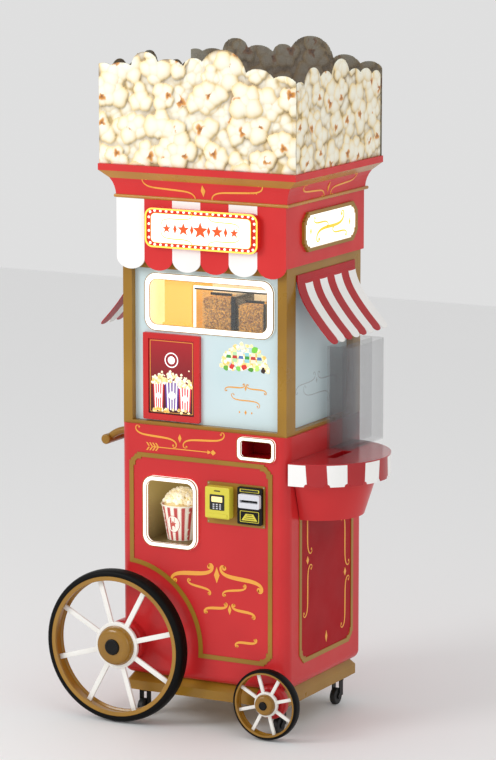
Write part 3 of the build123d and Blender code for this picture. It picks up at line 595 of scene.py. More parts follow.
def flakeHeight(u, v, puffs, size):
    # the top of the puffs over each point, how near it is to a puff's edge, and how much hull shows
    top, edge, hull = np.zeros(u.shape), np.ones(u.shape), np.zeros(u.shape)
    for cx, cy, radius, lift, amber, phase in puffs:
        near = (np.abs(u - cx) < radius * 1.2) & (np.abs(v - cy) < radius * 1.2)
        if not near.any():
            continue
        a = np.arctan2(v[near] - cy, u[near] - cx)
        broad, fine, tall = (0.24, 0.12, 0.12) if amber else (0.07, 0.04, 1)
        wave = broad * np.sin(3 * a + phase) + fine * np.sin(5 * a - phase)
        d = np.hypot(u[near] - cx, v[near] - cy) / (radius * (1 + wave))
        h = np.where(d < 1, np.sqrt(np.clip(1 - d * d, 0, 1)) * tall * radius / size + lift, -1)
        win = h > top[near]
        top[near] = np.where(win, h, top[near])
        edge[near] = np.where(win, 0.3 if amber else d, edge[near])
        hull[near] = np.where(win, amber * (1.1 - d), hull[near])
    return top, edge, hull


def blurred(field, reach):
    out = field.copy()
    for axis in (0, 1):
        total = sum(np.roll(out, k, axis) for k in range(-reach, reach + 1))
        out = total / (2 * reach + 1)
    return out


cream, butter, crevice, amberInk, hullInk = [np.array(linear(code)[:3]) for code in
                                             ("#FFFBE9", "#F0CF86", "#8A6428", "#E0921F", "#7A3208")]


def popcornTone(top, edge, hull):
    # ink for each point: cream puffs, buttery edges, dark gaps, and light that falls from the upper left
    tone = cream + (butter - cream) * np.clip(edge, 0, 1)[..., None] ** 2.6
    gap = np.clip((blurred(top, 6) - top) * 2.6, 0, 1)[..., None]
    tone = tone + (crevice - tone) * gap * 0.85
    low = np.clip((0.34 - top) / 0.34, 0, 1)[..., None]
    tone = tone + (butter * 0.55 - tone) * low * 0.6
    slopeV, slopeU = np.gradient(blurred(top, 1))
    light = np.clip(1.0 + 2.2 * (slopeU - slopeV * 1.0), 0.62, 1.06)[..., None]
    tone = tone * light
    rich = np.clip(hull * 2.2, 0, 1)[..., None]
    ink = amberInk + (hullInk - amberInk) * np.clip(hull - 0.45, 0, 1)[..., None] * 1.6
    return np.clip(tone + (ink - tone) * rich, 0, 1)


def popcornBoard(name, node, along, columns, seed, outward, keep=None):
    # outward is +1 or -1 on the board's thin axis; keep picks one of two boards of a node
    rows, flake, lipHeight = 112, 112.0, 40
    points = np.array([v.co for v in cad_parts[node].data.vertices]) / mm
    if keep is not None:
        points = points[keep(points)]
    base = points[:, 2].min()
    thin = points[:, 1 if along == 0 else 0]
    upper = points[points[:, 2] > base + lipHeight]
    foot = points[points[:, 2] < base + 1][:, along]
    a0, a1 = foot.min(), foot.max()
    # the outline is read as a top height at each position along, by joining neighbouring CAD points
    order = np.argsort(upper[:, along])
    xs, zs = upper[order, along], upper[order, 2]
    grid = np.linspace(a0, a1, columns)
    tops = np.array([zs[np.abs(xs - g) < (a1 - a0) / columns * 1.6 + 3].max(initial=0) for g in grid])
    gaps = tops < base + lipHeight
    tops[gaps] = np.interp(grid[gaps], grid[~gaps], tops[~gaps])
    u, share = np.meshgrid(grid, np.linspace(0, 1, rows))
    tall = tops[None, :] - base
    z = base + tall * share
    puffs = flakeField(a1 - a0, zs.max() - base, flake, np.random.default_rng(seed))
    top, edge, hull = flakeHeight(u - a0, z - base, puffs, flake)
    tone = popcornTone(top, edge, hull)
    # the print is embossed a little, and flat towards the cut edge
    rim = np.minimum.reduce([share * tall, (1 - share) * tall, u - a0, a1 - u])
    relief = np.clip(top - 0.2, 0, 0.85) * 5.4 * np.clip(rim / 14, 0, 1)
    inner, outer = (thin.min(), thin.max()) if outward > 0 else (thin.max(), thin.min())
    face = outer - outward * (4.6 - relief)
    front = np.stack([u.ravel(), z.ravel(), face.ravel()], 1)
    back = np.stack([u.ravel(), z.ravel(), np.full(u.size, float(inner))], 1)
    n = rows * columns
    corners = [r * columns + c for r in range(rows - 1) for c in range(columns - 1)]
    faces = [(i, i + 1, i + columns + 1, i + columns) for i in corners]
    faces += [(n + i, n + i + columns, n + i + columns + 1, n + i + 1) for i in corners]
    border = list(range(columns)) + [r * columns + columns - 1 for r in range(1, rows)]
    border += [(rows - 1) * columns + c for c in range(columns - 2, -1, -1)]
    border += [r * columns for r in range(rows - 2, 0, -1)]
    faces += [(i, n + i, n + j, j) for i, j in zip(border, border[1:] + border[:1])]
    pick = [0] * len(corners) + [1] * (len(faces) - len(corners))
    place = onFront if along == 0 else onSide
    piece = makePiece(name, place(np.concatenate([front, back])), faces, [popcornPrint, popcornPaintedShade],
                      slot="printed_board", replaces=[node], smooth="all", pick=pick)
    ink = np.tile(tone.reshape(-1, 3), (2, 1))
    paint(piece, np.column_stack([ink, np.ones(2 * n)]))
    # the back faces and cut edges get a dark grey copy of the print: painted shade for the unlit inside of the
    # topper
    grey = ink ** 1.4 * 0.15 + np.array(linear("#3A372F")[:3]) * 0.5
    paint(piece, np.column_stack([grey, np.ones(2 * n)]), "shade")


popcornBoard("topperFrontPrint", "topper_front", 0, 320, 5, -1)
popcornBoard("topperRearPrint", "topper_rear", 0, 320, 8, 1)
popcornBoard("topperRightPrint", "topper_sides", 1, 290, 11, 1, lambda p: p[:, 0] > 0)
popcornBoard("topperLeftPrint", "topper_sides", 1, 290, 14, -1, lambda p: p[:, 0] < 0)
print("topper printed")


def colourFaces(node, choose, materials):
    # a CAD node kept as it is, with more than one finish on its faces
    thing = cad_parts[node]
    thing.data.materials.clear()
    for material in materials:
        thing.data.materials.append(material)
    picks = [choose(p.center / mm) for p in thing.data.polygons]
    thing.data.polygons.foreach_set("material_index", np.array(picks, np.int32))


valanceX = span("front_valance")[0]
stripWidth = (valanceX[1] - valanceX[0]) / 6


def stripNumber(centre):
    return int((centre[0] - valanceX[0]) // stripWidth) % 2


colourFaces("front_valance", stripNumber, [stripeWhite, redHead])

awningX, awningY, awningZ = span("awnings")
awningDrop = awningZ[1] - awningZ[0]
awningReach = awningX[1] - span("upper_frame")[0][1]
sweep = [(0, 0), (0.06, 0.19), (0.16, 0.34), (0.31, 0.49), (0.49, 0.64), (0.69, 0.79), (1, 1)]  # out and down


def awningPiece(name, side, replaced):
    stripes, across, down = 8, 12, 30
    thick, hem = 2.6, 15.0
    wide = (awningY[1] - awningY[0]) / stripes
    start = awningX[1] - awningReach + 1.5
    t = np.linspace(0, 1, down + 1)
    ts = np.linspace(0, 1, len(sweep))
    reach, drop = [np.interp(t, ts, [p[i] for p in sweep]) for i in (0, 1)]
    for _ in range(3):
        for line in (reach, drop):
            line[1:-1] = (line[:-2] + 2 * line[1:-1] + line[2:]) / 4
    slope = np.gradient(np.stack([reach * awningReach, -drop * awningDrop], 1), axis=0)
    slope /= np.linalg.norm(slope, axis=1)[:, None]
    inward = np.repeat(np.stack([slope[:, 1], 0 * t, -slope[:, 0]], 1), across + 1, axis=0) * thick
    count, n = across + 1, (across + 1) * (down + 1)
    faces = [(i, i + 1, i + count + 1, i + count) for i in range(n - count) if i % count < across]
    faces += [tuple(n + v for v in loop[::-1]) for loop in faces]
    rim = list(range(count)) + [i * count + across for i in range(1, down + 1)]
    rim += [down * count + j for j in range(across - 1, -1, -1)]
    rim += [i * count for i in range(down - 1, 0, -1)]
    faces += [(a, n + a, n + b, b) for a, b in zip(rim, rim[1:] + rim[:1])]
    shapes, tone = [], []
    for k in range(stripes):
        # one stripe with a round end: the sheet is shortened towards the stripe's edges
        y = np.linspace(awningY[0] + k * wide + 0.1, awningY[0] + (k + 1) * wide - 0.1, count)
        off = np.clip(np.abs((y - y.mean()) / (wide / 2)), 0, 1)
        cut = hem * (1 - np.sqrt(np.clip(1 - off ** 2.6, 0, 1))) / awningDrop
        at = t[:, None] * (1 - cut)
        x = start + np.interp(at, t, reach) * (awningReach - 4)
        z = awningZ[1] - 1 - np.interp(at, t, drop) * (awningDrop - 2)
        top = np.stack([x, np.broadcast_to(y, x.shape), z], 2).reshape(-1, 3)
        points = np.concatenate([top, top + inward])
        shapes.append((points * (side, 1, 1), faces))
        header = [awningZ[1] - np.mean([points[v][2] for v in loop]) < 24 for loop in faces]
        tone += [0 if h else k % 2 for h in header]
    points, faces, _ = joinShapes(shapes)
    return makePiece(name, points, faces, [awningRed, stripeWhite], slot="stripe_sheet",
                     replaces=["awnings"] if replaced else (), smooth=True, pick=tone)


awningPiece("awningRight", 1, True)
awningPiece("awningLeft", -1, False)
battenX = span("upper_frame")[0][1]
for name, side in sides.items():
    points, faces = boxMesh((battenX - 1, battenX + 5), awningY, (awningZ[1] - 14, awningZ[1] + 9))
    makePiece(f"awningBatten{name}", points * (side, 1, 1), faces, [awningRed], slot="stripe_sheet", bevel=1.2)

shelfX, shelfY, _ = span("shelf_top")
shelfRadius = (shelfY[1] - shelfY[0]) / 2
shelfCentre = (shelfX[1] - shelfRadius, (shelfY[0] + shelfY[1]) / 2)


def scallopNumber(centre):
    turn = math.degrees(math.atan2(centre[1] - shelfCentre[1], centre[0] - shelfCentre[0])) + 90
    return int(min(max(turn, 0), 179.9) // (180 / 11)) % 2


colourFaces("shelf_skirt", scallopNumber, [stripeWhite, redGloss])
print("stripes set")


def beadRound(name, outer, corner, face, reach, width=2.6, material=goldBright):
    # a small rounded gold bead that closes the edge of a lit frame
    big = roundRect(outer[0], outer[1], corner, 10)
    small = roundRect(grow(outer[0], -width), grow(outer[1], -width), corner - width, 10)
    shape = ringPrism(big, small, face, face + reach)
    return lay(name, shape, onFront, material, "gold_paint", bevel=0.6)


def frameBeads(node, outerCorner, innerCorner, inner):
    x, y, z = span(node)
    beadRound(f"{node}OuterBead", (grow(x, 0.4), grow(z, 0.4)), outerCorner, y[0] - 0.8, 5)
    beadRound(f"{node}InnerBead", (grow(inner[0], 0.2), grow(inner[1], 0.2)), innerCorner, y[0] - 0.5, 4, 2.0)


def insideOf(node, left, right, low, high):
    x, _, z = span(node)
    return (x[0] + left, x[1] - right), (z[0] + low, z[1] - high)


shadeNode("bag_frame", opalWhite)
shadeNode("bag_tray", redDeep)
frameBeads("window_frame", 45, 30, insideOf("window_frame", 19, 24, 21, 21))
frameBeads("pickup_frame", 40, 28, insideOf("pickup_frame", 14, 13, 14, 15))
frameBeads("bag_frame", 20, 12, insideOf("bag_frame", 14, 11, 12, 12))
print("frames set")


signX, signY, signZ = span("marquee_case")
shadeNode("marquee_case", signRed)
outer = roundRect(grow(signX, -0.2), grow(signZ, -0.2), 30, 12)
innerRim = roundRect(grow(signX, -6), grow(signZ, -6), 25, 12)
lay("signRim", ringPrism(outer, innerRim, signY[0] + 1.5, signY[0] - 2.2), onFront, rimGlow, "lit_acrylic",
    bevel=1.2)
panel = (grow(signX, -27), grow(signZ, -19))
lay("signPanel", prism(roundRect(panel[0], panel[1], 15, 10), signY[0] - 3.2, signY[0] + 1), onFront,
    opalWhite, "lit_acrylic", bevel=0.8)
beadRound("signPanelBead", (grow(panel[0], 1.6), grow(panel[1], 1.6)), 16, signY[0] - 3.0, 4, 1.8, rimGlow)


def star(centre, radius, points=5, inner=0.42, turn=90):
    out = []
    for k in range(points * 2):
        a = math.radians(turn + 180 * k / points)
        r = radius if k % 2 == 0 else radius * inner
        out.append((centre[0] + r * math.cos(a), centre[1] + r * math.sin(a)))
    return out


signMid = (sum(signX) / 2, sum(signZ) / 2)
shapes, starShapes = [], []
for dx, r in ((-132, 17), (-66, 24), (0, 31), (66, 24), (132, 17)):
    starShapes += flat(star((signMid[0] + dx, signMid[1]), r))
for dx in (-99, -33, 33, 99):
    starShapes += flat(diamond((signMid[0] + dx, signMid[1]), 14, 34))
decorate("signStars", starShapes, onFront, signY[0] - 4.2, signY[0] - 3.0, printOrange)
for side in (-1, 1):
    shapes += flourish((signMid[0] + side * 92, signMid[1] + 34), 120, 3.4, mirror=side > 0)
    shapes += flourish((signMid[0] + side * 92, signMid[1] - 34), 120, 3.4, mirror=side < 0)
decorate("signScrolls", shapes, onFront, signY[0] - 4.0, signY[0] - 3.0, printYellow)

# side signs: a gold frame with cut corners, a lit panel and one yellow scroll
sideX, sideY, sideZ = span("side_signs")
shadeNode("side_signs", goldCoat)
signCentre = (sum(sideY) / 2, sum(sideZ) / 2)
face = sideX[1] - 5
for name, side in sides.items():
    ticket = prism(bittenRect(grow(sideY, -11), grow(sideZ, -11), 21), face - 1, face + 0.6)
    lay(f"sideSignPanel{name}", ticket, mirrored(side), opalWhite, "lit_acrylic")
    shapes = flourish(signCentre, 210, 11, 4.6, 1.2, mirror=side < 0)
    for way in (-1, 1):
        shapes += flourish((signCentre[0] + way * 72, signCentre[1] - way * 24), 110, 6, mirror=side > 0)
    for way in (-1, 1):
        shapes += flat(diamond((signCentre[0] + way * 150, signCentre[1]), 12, 26))
    decorate(f"sideSignScroll{name}", shapes, onSide, side * (face + 0.5), side * (face + 1.3), printYellow)
print("signs set")


coveX, _, coveZ = span("cornice_cove")
frontOut, sideOut = {}, {}  # how far the cove stands out at each height
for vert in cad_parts["cornice_cove"].data.vertices:
    x, y, height = vert.co.x / mm, vert.co.y / mm, round(vert.co.z / mm, 1)
    sideOut[height] = max(sideOut.get(height, 0), x)
    if y < 0 and abs(x) > coveX[1] - 60:
        frontOut[height] = max(frontOut.get(height, 0), round(-y, 1))


def onCove(table, side=0):
    # side is 0 for the front, 1 for the customer's right and -1 for the left
    def place(points):
        heights = sorted(table)
        out = np.interp(points[:, 1], heights, [table[h] for h in heights]) + points[:, 2]
        if side:
            return np.stack([side * out, points[:, 0], points[:, 1]], 1)
        return np.stack([points[:, 0], -out, points[:, 1]], 1)
    return place


def coveScroll(left, right, length, thick):
    # two scrolls that lean to a diamond between them
    height = (coveZ[0] + coveZ[1]) / 2
    return (flourish((left, height), length, thick, 4.8, 0, turn=-3, mirror=True)
            + flourish((right, height), length, thick, 4.8, 0, turn=3))


coveMid = (coveZ[0] + coveZ[1]) / 2 + 2
shapes = coveScroll(-121, 147, 205, 6.5) + flat(diamond((13, coveMid - 1), 18, 42))
for k in range(3):
    for x in (-196, 198):
        shapes += flat(dot((x + 11 * k, coveMid + 1), 2.2, 10))
decorate("coveScrollFront", shapes, onCove(frontOut), 0.1, 1.2, printGold)
for name, side in sides.items():
    shapes = coveScroll(-84, 144, 180, 6.2) + flat(diamond((30, coveMid), 13, 38))
    decorate(f"coveScroll{name}", shapes, onCove(sideOut, side), 0.1, 1.2, printGold)

shellX, shellY, _ = span("lower_shell")
film = 0.9
# the scrolls that take the place of lettering on the lower front
shapes = []
for side in (-1, 1):
    shapes += flourish((54 + side * 98, 552), 168, 15, 4.8, 1.2, turn=-side * 4, mirror=side > 0)
    shapes += flourish((54 + side * 70, 508), 96, 8, 4.8, 0.8, turn=side * 8, mirror=side < 0)
    shapes += flourish((105 + side * 55, 437), 92, 10, 4.8, 1.2, turn=-side * 4, mirror=side > 0)
shapes += flat(diamond((54, 556), 22, 58)) + flat(diamond((105, 437), 14, 36))
shapes += flourish((170, 325), 84, 9, 4.4, 1.2)
decorate("frontScrolls", shapes, onFace(shellY[0]), 0.1, film, printGold)
shapes = flourish((-187, 1030), 165, 7, 4.6, 0.4, turn=-3, mirror=True)
shapes += flourish((3, 1030), 165, 7, 4.6, 0.4, turn=3) + flat(diamond((-92, 1030), 14, 30))
arrowAt = 991  # height of the arrow's shaft
shaft = [(-205, -1.6), (18, -1.6), (18, -7), (34, 0), (18, 7), (18, 1.6), (-205, 1.6)]
shapes += flat([(a, arrowAt + b) for a, b in shaft])
for x in range(-218, -181, 12):
    for flip in (-1, 1):
        feather = [(x, 1.8), (x - 9, 14), (x - 3, 14), (x + 6, 1.8)]
        shapes += flat([(a, arrowAt + flip * b) for a, b in feather])
shapes += flat(diamond((40, arrowAt), 22, 20))
decorate("arrowAndScroll", shapes, onFace(shellY[0]), 0.1, film, printGold)

# deeper red fields inside the side trims, each with two scroll lines and three diamonds
_, trimY, trimZ = span("side_trims")
fieldY, fieldZ = grow(trimY, -15), grow(trimZ, -15)
for name, side in sides.items():
    field = prism(bittenRect(fieldY, fieldZ, 24), shellX[1] - 1.5, shellX[1] + 0.7)
    lay(f"sideField{name}", field, mirrored(side), redDeep, "red_paint")
    shapes = []
    for y, top in ((fieldY[0] + 48, 760), (fieldY[1] - 48, 660)):
        shapes += flourish((y, top - 36), 190, 8, 4.4, 0.4, turn=90)
        shapes += flat(diamond((y, top - 152), 20, 30))
        shapes += flourish((y, top - 262), 180, 8, 4.4, 0.4, turn=90, mirror=True)
    shapes += flat(diamond((sum(fieldY) / 2, 303), 17, 42))
    decorate(f"sideScrolls{name}", shapes, mirrored(side), shellX[1] + 0.6, shellX[1] + 1.6, printGold)
print("scrolls set")


# the flavour picture: popcorn, fruit and jars printed on the pale panel
panelY = span("screen_bezel")[1][1]
rng = np.random.default_rng(21)


def blobs(name, items, place):
    # many small flat rounds, each with its own printed colour
    shapes, colours = [], []
    for outline, low, high, code in items:
        shapes += raised(flat(outline), low, high)
        colours += [linear(code)] * (2 * len(outline))
    points, faces, _ = joinShapes(shapes)
    paint(makePiece(name, place(points), faces, [screenPicture], slot="display"), colours)


def kernelShape(cx, cz, size, rough=0.22):
    a = np.linspace(0, 2 * math.pi, 11)[:-1]
    r = size * (1 + rng.uniform(-rough, rough, 10))
    return np.stack([cx + r * np.cos(a), cz + r * np.sin(a)], 1)


items = []
for k in range(230):
    u = rng.uniform(-1, 1)
    top = 1283 + 100 * math.sqrt(max(1 - u * u, 0)) * 0.95
    z = rng.uniform(1287, max(top, 1290))
    code = rng.choice(["#F7E3A8", "#FBF0CE", "#EFD084", "#E8BC62", "#FFF7DF"])
    items.append((kernelShape(146 + 92 * u, z, rng.uniform(4, 7.5)), 0.05, 0.35 + 0.002 * k, code))
for k, code in enumerate(["#5FA33A", "#C9302A", "#7CC254", "#C9302A", "#4A8F2C", "#B7D96A", "#2B1712"]):
    items.append((kernelShape(72 + 24.5 * k, 1290 + 6 * (k % 2), 9.5, 0.3), 0.05, 0.95, code))
items.append((kernelShape(186, 1360, 12, 0.3), 0.05, 0.98, "#6FBF3C"))
for k, code in enumerate(["#DCE6DA", "#A9CFA0", "#E9E4D6", "#8FC3C9", "#F0D9C0", "#C8D8B8"]):
    x = 84 + 24 * k
    box = np.array([(x - 10, 1312), (x + 10, 1312), (x + 8, 1348), (x - 8, 1348)])
    items.append((box, 0.05, 0.9, code))
    items.append((box * (1, 0.3) + (0, 0.7 * 1330), 0.05, 1.0, ["#3E8F3A", "#B5332A", "#4C6FA8"][k % 3]))


# the printed flavour picture takes the screen's glowing ink: painted light, the print is no lamp
blobs("flavourPicture", items, onFace(panelY))
shapes = flourish((108, 1222), 78, 4.6) + flourish((192, 1222), 78, 4.6, mirror=True)
shapes += flat(diamond((150, 1222), 8, 18)) + flourish((150, 1180), 110, 4.2, mirror=True)
for x, wide, tall in ((150, 9, 16), (126, 6, 9), (174, 6, 9)):
    shapes += flat(diamond((x, 1137), wide, tall))
decorate("panelScrolls", shapes, onFace(panelY), 0.05, 0.7, printGold)

# grey vinyl film on the unlit side panel, with a faint glow that is painted light
greyVinyl = litPlastic("greyVinyl", "#B9C2C4", "#9AA3A5", 0.05)
sideFace = span("upper_frame")[0][1] - 25
for name, side in sides.items():
    shapes = flourish((-55, 1225), 150, 3.6) + flourish((115, 1225), 150, 3.6, mirror=True)
    shapes += flat(diamond((30, 1225), 8, 20)) + flourish((30, 1180), 200, 3.4, mirror=True)
    decorate(f"sidePanelScrolls{name}", shapes, mirrored(side), sideFace - 0.3, sideFace + 0.8, greyVinyl,
             slot="blue_panel")

# touch screen: a dark red picture with three boxes of popcorn
screenX, screenY, screenZ = span("touch_screen")
onScreen = onFace(screenY[0])
rows = 24  # enough steps for the picture's dark foot to fade upwards
zs = np.linspace(screenZ[0] + 0.5, screenZ[1] - 0.5, rows)
points = np.array([(x, z, d) for d in (0.05, 0.25) for z in zs for x in grow(screenX, -0.5)])
faces = []
for base in (0, rows * 2):
    loops = [(base + i, base + i + 1, base + i + 3, base + i + 2) for i in range(0, 2 * rows - 2, 2)]
    faces += loops if base else [loop[::-1] for loop in loops]
n = rows * 2
edge = list(range(0, n, 2)) + list(range(n - 1, 0, -2))
faces += [(a, b, n + b, n + a) for a, b in zip(edge, edge[1:] + edge[:1])]
piece = makePiece("screenGlow", onScreen(points), faces, [screenPicture], slot="display",
                  replaces=["touch_screen"])
glow = np.clip((points[:, 1] - screenZ[0]) / (screenZ[1] - screenZ[0]), 0, 1)[:, None]
tone = np.array(linear("#2E0208")[:3]) * (1 - glow) + np.array(linear("#9B0414")[:3]) * glow
paint(piece, np.column_stack([tone, np.ones(len(tone))]))
midX = sum(screenX) / 2
line = roundRect(grow(screenX, -5), grow(screenZ, -5), 4, 4)
inside = roundRect(grow(screenX, -7), grow(screenZ, -7), 3, 4)
lay("screenLine", ringPrism(line, inside, 0.2, 0.6), onScreen, printGold, "display")
items = []
for dx, wide, tall, first in ((-52, 44, 96, "#C9262A"), (2, 58, 104, "#5A2E8E"), (54, 50, 88, "#D8384A")):
    x, z = midX + dx, screenZ[0] + 16
    for i in range(9):
        a, b = -0.5 + i / 9, -0.5 + (i + 1) / 9
        strip = [(a * 0.8, 0), (b * 0.8, 0), (b, 1), (a, 1)]
        items.append((np.array(strip) * (wide, tall) + (x, z), 0.2, 0.5, "#FFF8EE" if i % 2 else first))
    items.append((dot((x, z + tall * 0.5), wide * 0.24, 20), 0.2, 0.62, "#FFFDF8"))
    for j in range(46):
        u = rng.uniform(-1, 1)
        top = z + tall + 26 * math.sqrt(max(1 - u * u, 0))
        spot = kernelShape(x + u * wide * 0.55, rng.uniform(z + tall - 4, top), rng.uniform(3.5, 6.5), 0.25)
        items.append((spot, 0.2, 0.66 + 0.004 * j, rng.choice(["#FFF3CF", "#F8DFA0", "#FFFBEA", "#EBC878"])))
loose = ((16, 14, 128, 165, 2.5, 5, 0.7, ["#FFF3CF"]),
         (34, 10, 9, 20, 3, 5.5, 0.9, ["#FFF3CF", "#F8DFA0", "#EBC878"]))
for count, edgeGap, low, high, least, most, lift, inks in loose:
    for _ in range(count):
        x, z = rng.uniform(*grow(screenX, -edgeGap)), rng.uniform(screenZ[0] + low, screenZ[0] + high)
        spot = kernelShape(x, z, rng.uniform(least, most))
        items.append((spot, 0.2, lift, inks[0] if len(inks) == 1 else rng.choice(inks)))
# a pointing ring stands in for the words
for r, code in ((27, "#FFFFFF"), (23, "#8A0512"), (14, "#FFFFFF")):
    items.append((dot((midX, screenZ[1] - 72), r, 36), 0.2, 0.30 + (27 - r) * 0.02, code))
blobs("screenItems", items, onScreen)
print("screen set")


# card reader and banknote validator
readerX, readerY, readerZ = span("card_reader")
shadeNode("card_reader", yellowPlastic)
shadeNode("bill_acceptor", blackPlastic)
shadeNode("bill_mouth", greyPlastic)


slotOf = {displayBlack: "black_plastic", blackPlastic: "black_plastic", greyPlastic: "black_plastic",
          yellowPlastic: "yellow_plastic", opalWarm: "display"}


def plateOn(name, x, z, y, out, material, corner=3.0, bevel=0.0):
    shape = prism(roundRect(x, z, corner, 6), y - out, y + 0.6)
    return lay(name, shape, onFront, material, slotOf[material], bevel=bevel)


y, foot, head = readerY[0], readerZ[0], readerZ[1]
plateOn("readerScreen", grow(readerX, -19), (foot + 30, head - 26), y, 1.2, displayBlack, 4, 0.6)
plateOn("readerPicture", grow(readerX, -27), (head - 52, head - 33), y - 1.2, 0.5, opalWarm, 1.5)
middle = sum(readerX) / 2
for row in range(3):
    for column in range(3):
        x, z = middle + (column - 1) * 13, foot + 36 + row * 7.2
        plateOn(f"readerKey{row}{column}", (x - 3.4, x + 3.4), (z - 2, z + 2), y - 1.2, 0.7, greyPlastic, 1)
plateOn("readerLip", grow(readerX, -8), (foot + 4, foot + 17), y, 2.6, yellowPlastic, 5, 1.2)
plateOn("readerLed", (middle - 12, middle + 12), (head - 15, head - 11), y, 0.8, displayBlack, 1.5)

billX, billY, billZ = span("bill_acceptor")
y, foot, head = billY[0], billZ[0], billZ[1]
plateOn("billHeader", grow(billX, -10), (head - 17, head - 6), y, 0.8, yellowPlastic, 2, 0.3)
plateOn("billHeaderInset", grow(billX, -14), (head - 15, head - 8), y - 0.8, 0.4, displayBlack, 1)
outer = roundRect(grow(billX, -11), (foot + 8, foot + 48), 3, 4)
inner = roundRect(grow(billX, -13), (foot + 10, foot + 46), 2, 4)
lay("billLabelFrame", ringPrism(outer, inner, y - 0.8, y + 0.4), onFront, yellowPlastic, "yellow_plastic")
middle = sum(billX) / 2
arrow = [(middle + a, foot + b) for a, b in ((-31, 14), (31, 14), (15, 38), (-15, 38))]
lay("billArrow", prism(arrow, y - 0.9, y + 0.4), onFront, yellowPlastic, "yellow_plastic")
for k in range(3):
    z, half = foot + 19 + 7 * k, 20 - 5 * k
    plateOn(f"billArrowLine{k}", (middle - half, middle + half), (z, z + 1.6), y - 0.9, 0.4, blackPlastic, 0.5)
print("payment set")


def scatter(name, seedPoints, grain, seed, sizes, body, material, tones, spin=6.283):
    # one small mesh set on every point by geometry nodes, turned and sized at random, then made real
    tree = bpy.data.node_groups.new(name + "Scatter", "GeometryNodeTree")
    sockets = {"Geometry": "Geometry", "Grain": "Object", "Smallest": "Float", "Largest": "Float",
               "Turn": "Float"}
    for label, kind in sockets.items():
        tree.interface.new_socket(label, in_out="INPUT", socket_type="NodeSocket" + kind)
    tree.interface.new_socket("Geometry", in_out="OUTPUT", socket_type="NodeSocketGeometry")
    start = addNode(tree, "NodeGroupInput")
    info = addNode(tree, "GeometryNodeObjectInfo", {"Object": start.outputs["Grain"]}, As_Instance=True)
    scale = addNode(tree, "FunctionNodeRandomValue", props={"data_type": "FLOAT"})
    tree.links.new(start.outputs["Smallest"], scale.inputs[2])
    tree.links.new(start.outputs["Largest"], scale.inputs[3])
    scale.inputs["Seed"].default_value = seed
    turn = addNode(tree, "FunctionNodeRandomValue", props={"data_type": "FLOAT_VECTOR"})
    tree.links.new(start.outputs["Turn"], turn.inputs[1])
    turn.inputs[0].default_value = (0, 0, 0)
    turn.inputs["Seed"].default_value = seed + 1
    place = addNode(tree, "GeometryNodeInstanceOnPoints",
                    {"Points": start.outputs["Geometry"], "Instance": info.outputs["Geometry"],
                     "Rotation": turn.outputs[0], "Scale": scale.outputs[1]})
    tone = addNode(tree, "GeometryNodeStoreNamedAttribute", {"Geometry": place.outputs[0]},
                   {"data_type": "FLOAT_COLOR", "domain": "INSTANCE"}, Name="print")
    mix = addNode(tree, "ShaderNodeMix", props={"data_type": "RGBA"})
    pick = addNode(tree, "FunctionNodeRandomValue", props={"data_type": "FLOAT"})
    pick.inputs["Seed"].default_value = seed + 2
    tree.links.new(pick.outputs[1], mix.inputs[0])
    mix.inputs[6].default_value, mix.inputs[7].default_value = [linear(code) for code in tones]
    tree.links.new(mix.outputs[2], tone.inputs["Value"])
    real = addNode(tree, "GeometryNodeRealizeInstances", {"Geometry": tone.outputs[0]})
    finish = addNode(tree, "GeometryNodeSetMaterial", {"Geometry": real.outputs[0]}, Material=material)
    end = addNode(tree, "NodeGroupOutput", {"Geometry": finish.outputs[0]})
    mesh = bpy.data.meshes.new(name + "Points")
    mesh.from_pydata([tuple(p) for p in np.asarray(seedPoints, float) * mm], [], [])
    carrier = bpy.data.objects.new(name + "Points", mesh)
    scene.collection.objects.link(carrier)
    modifier = carrier.modifiers.new("scatter", "NODES")
    modifier.node_group = tree
    names = {item.name: item.identifier for item in tree.interface.items_tree if item.in_out == "INPUT"}
    for label, value in zip(("Grain", "Smallest", "Largest", "Turn"), (grain, *sizes, spin)):
        modifier[names[label]] = value
    result = bpy.data.meshes.new_from_object(carrier.evaluated_get(bpy.context.evaluated_depsgraph_get()))
    bpy.data.objects.remove(carrier)
    piece = bpy.data.objects.new(name, result)
    scene.collection.objects.link(piece)
    result.shade_smooth()
    return settle(piece, body, ())


def grainMesh(name, size, lumps, subdivisions):
    # a small closed lump: lumps are (direction, reach) pushes on a ball
    work = bmesh.new()
    bmesh.ops.create_icosphere(work, subdivisions=subdivisions, radius=1)
    for vert in work.verts:
        d = vert.co.normalized()
        r = 1.0
        for direction, reach, width in lumps:
            closeness = max(0, d.dot(Vector(direction).normalized()))
            r += reach * closeness ** width
        vert.co = d * r * size * mm
    mesh = bpy.data.meshes.new(name)
    work.to_mesh(mesh)
    work.free()
    return bpy.data.objects.new(name, mesh)


# cream liner behind the window, glowing as painted light: floor, back, ends and top, and the lamp rail over
# the hoppers
hopperX, hopperY, hopperZ = span("kernel_hoppers")
hoodZ = span("popping_chamber")[2]
paneX, paneY, paneZ = span("window_glass")
linerFront, linerBack = paneY[1] + 1.5, hopperY[1] + 22
(x0, x1), depth = grow(paneX, 6), (linerFront, linerBack)
z0, z1 = hoodZ[0] - 4, paneZ[1] + 12
sheet = 3  # liner thickness
shapes = [boxMesh((x0, x1), depth, (z0 - sheet, z0)),
          boxMesh((x0, x1), (linerBack, linerBack + sheet), (z0, z1)),
          boxMesh((x0 - sheet, x0), depth, (z0, z1)), boxMesh((x1, x1 + sheet), depth, (z0, z1)),
          boxMesh((x0, x1), depth, (z1, z1 + sheet))]
lay("windowLiner", joinShapes(shapes), None, creamLinerGlow, "lit_acrylic")
railX = (hopperX[0] - 12, x1)
railY = (linerFront + 6, linerFront + 18)
rail = boxMesh(railX, railY, (z1 - 40, z1 - 34))
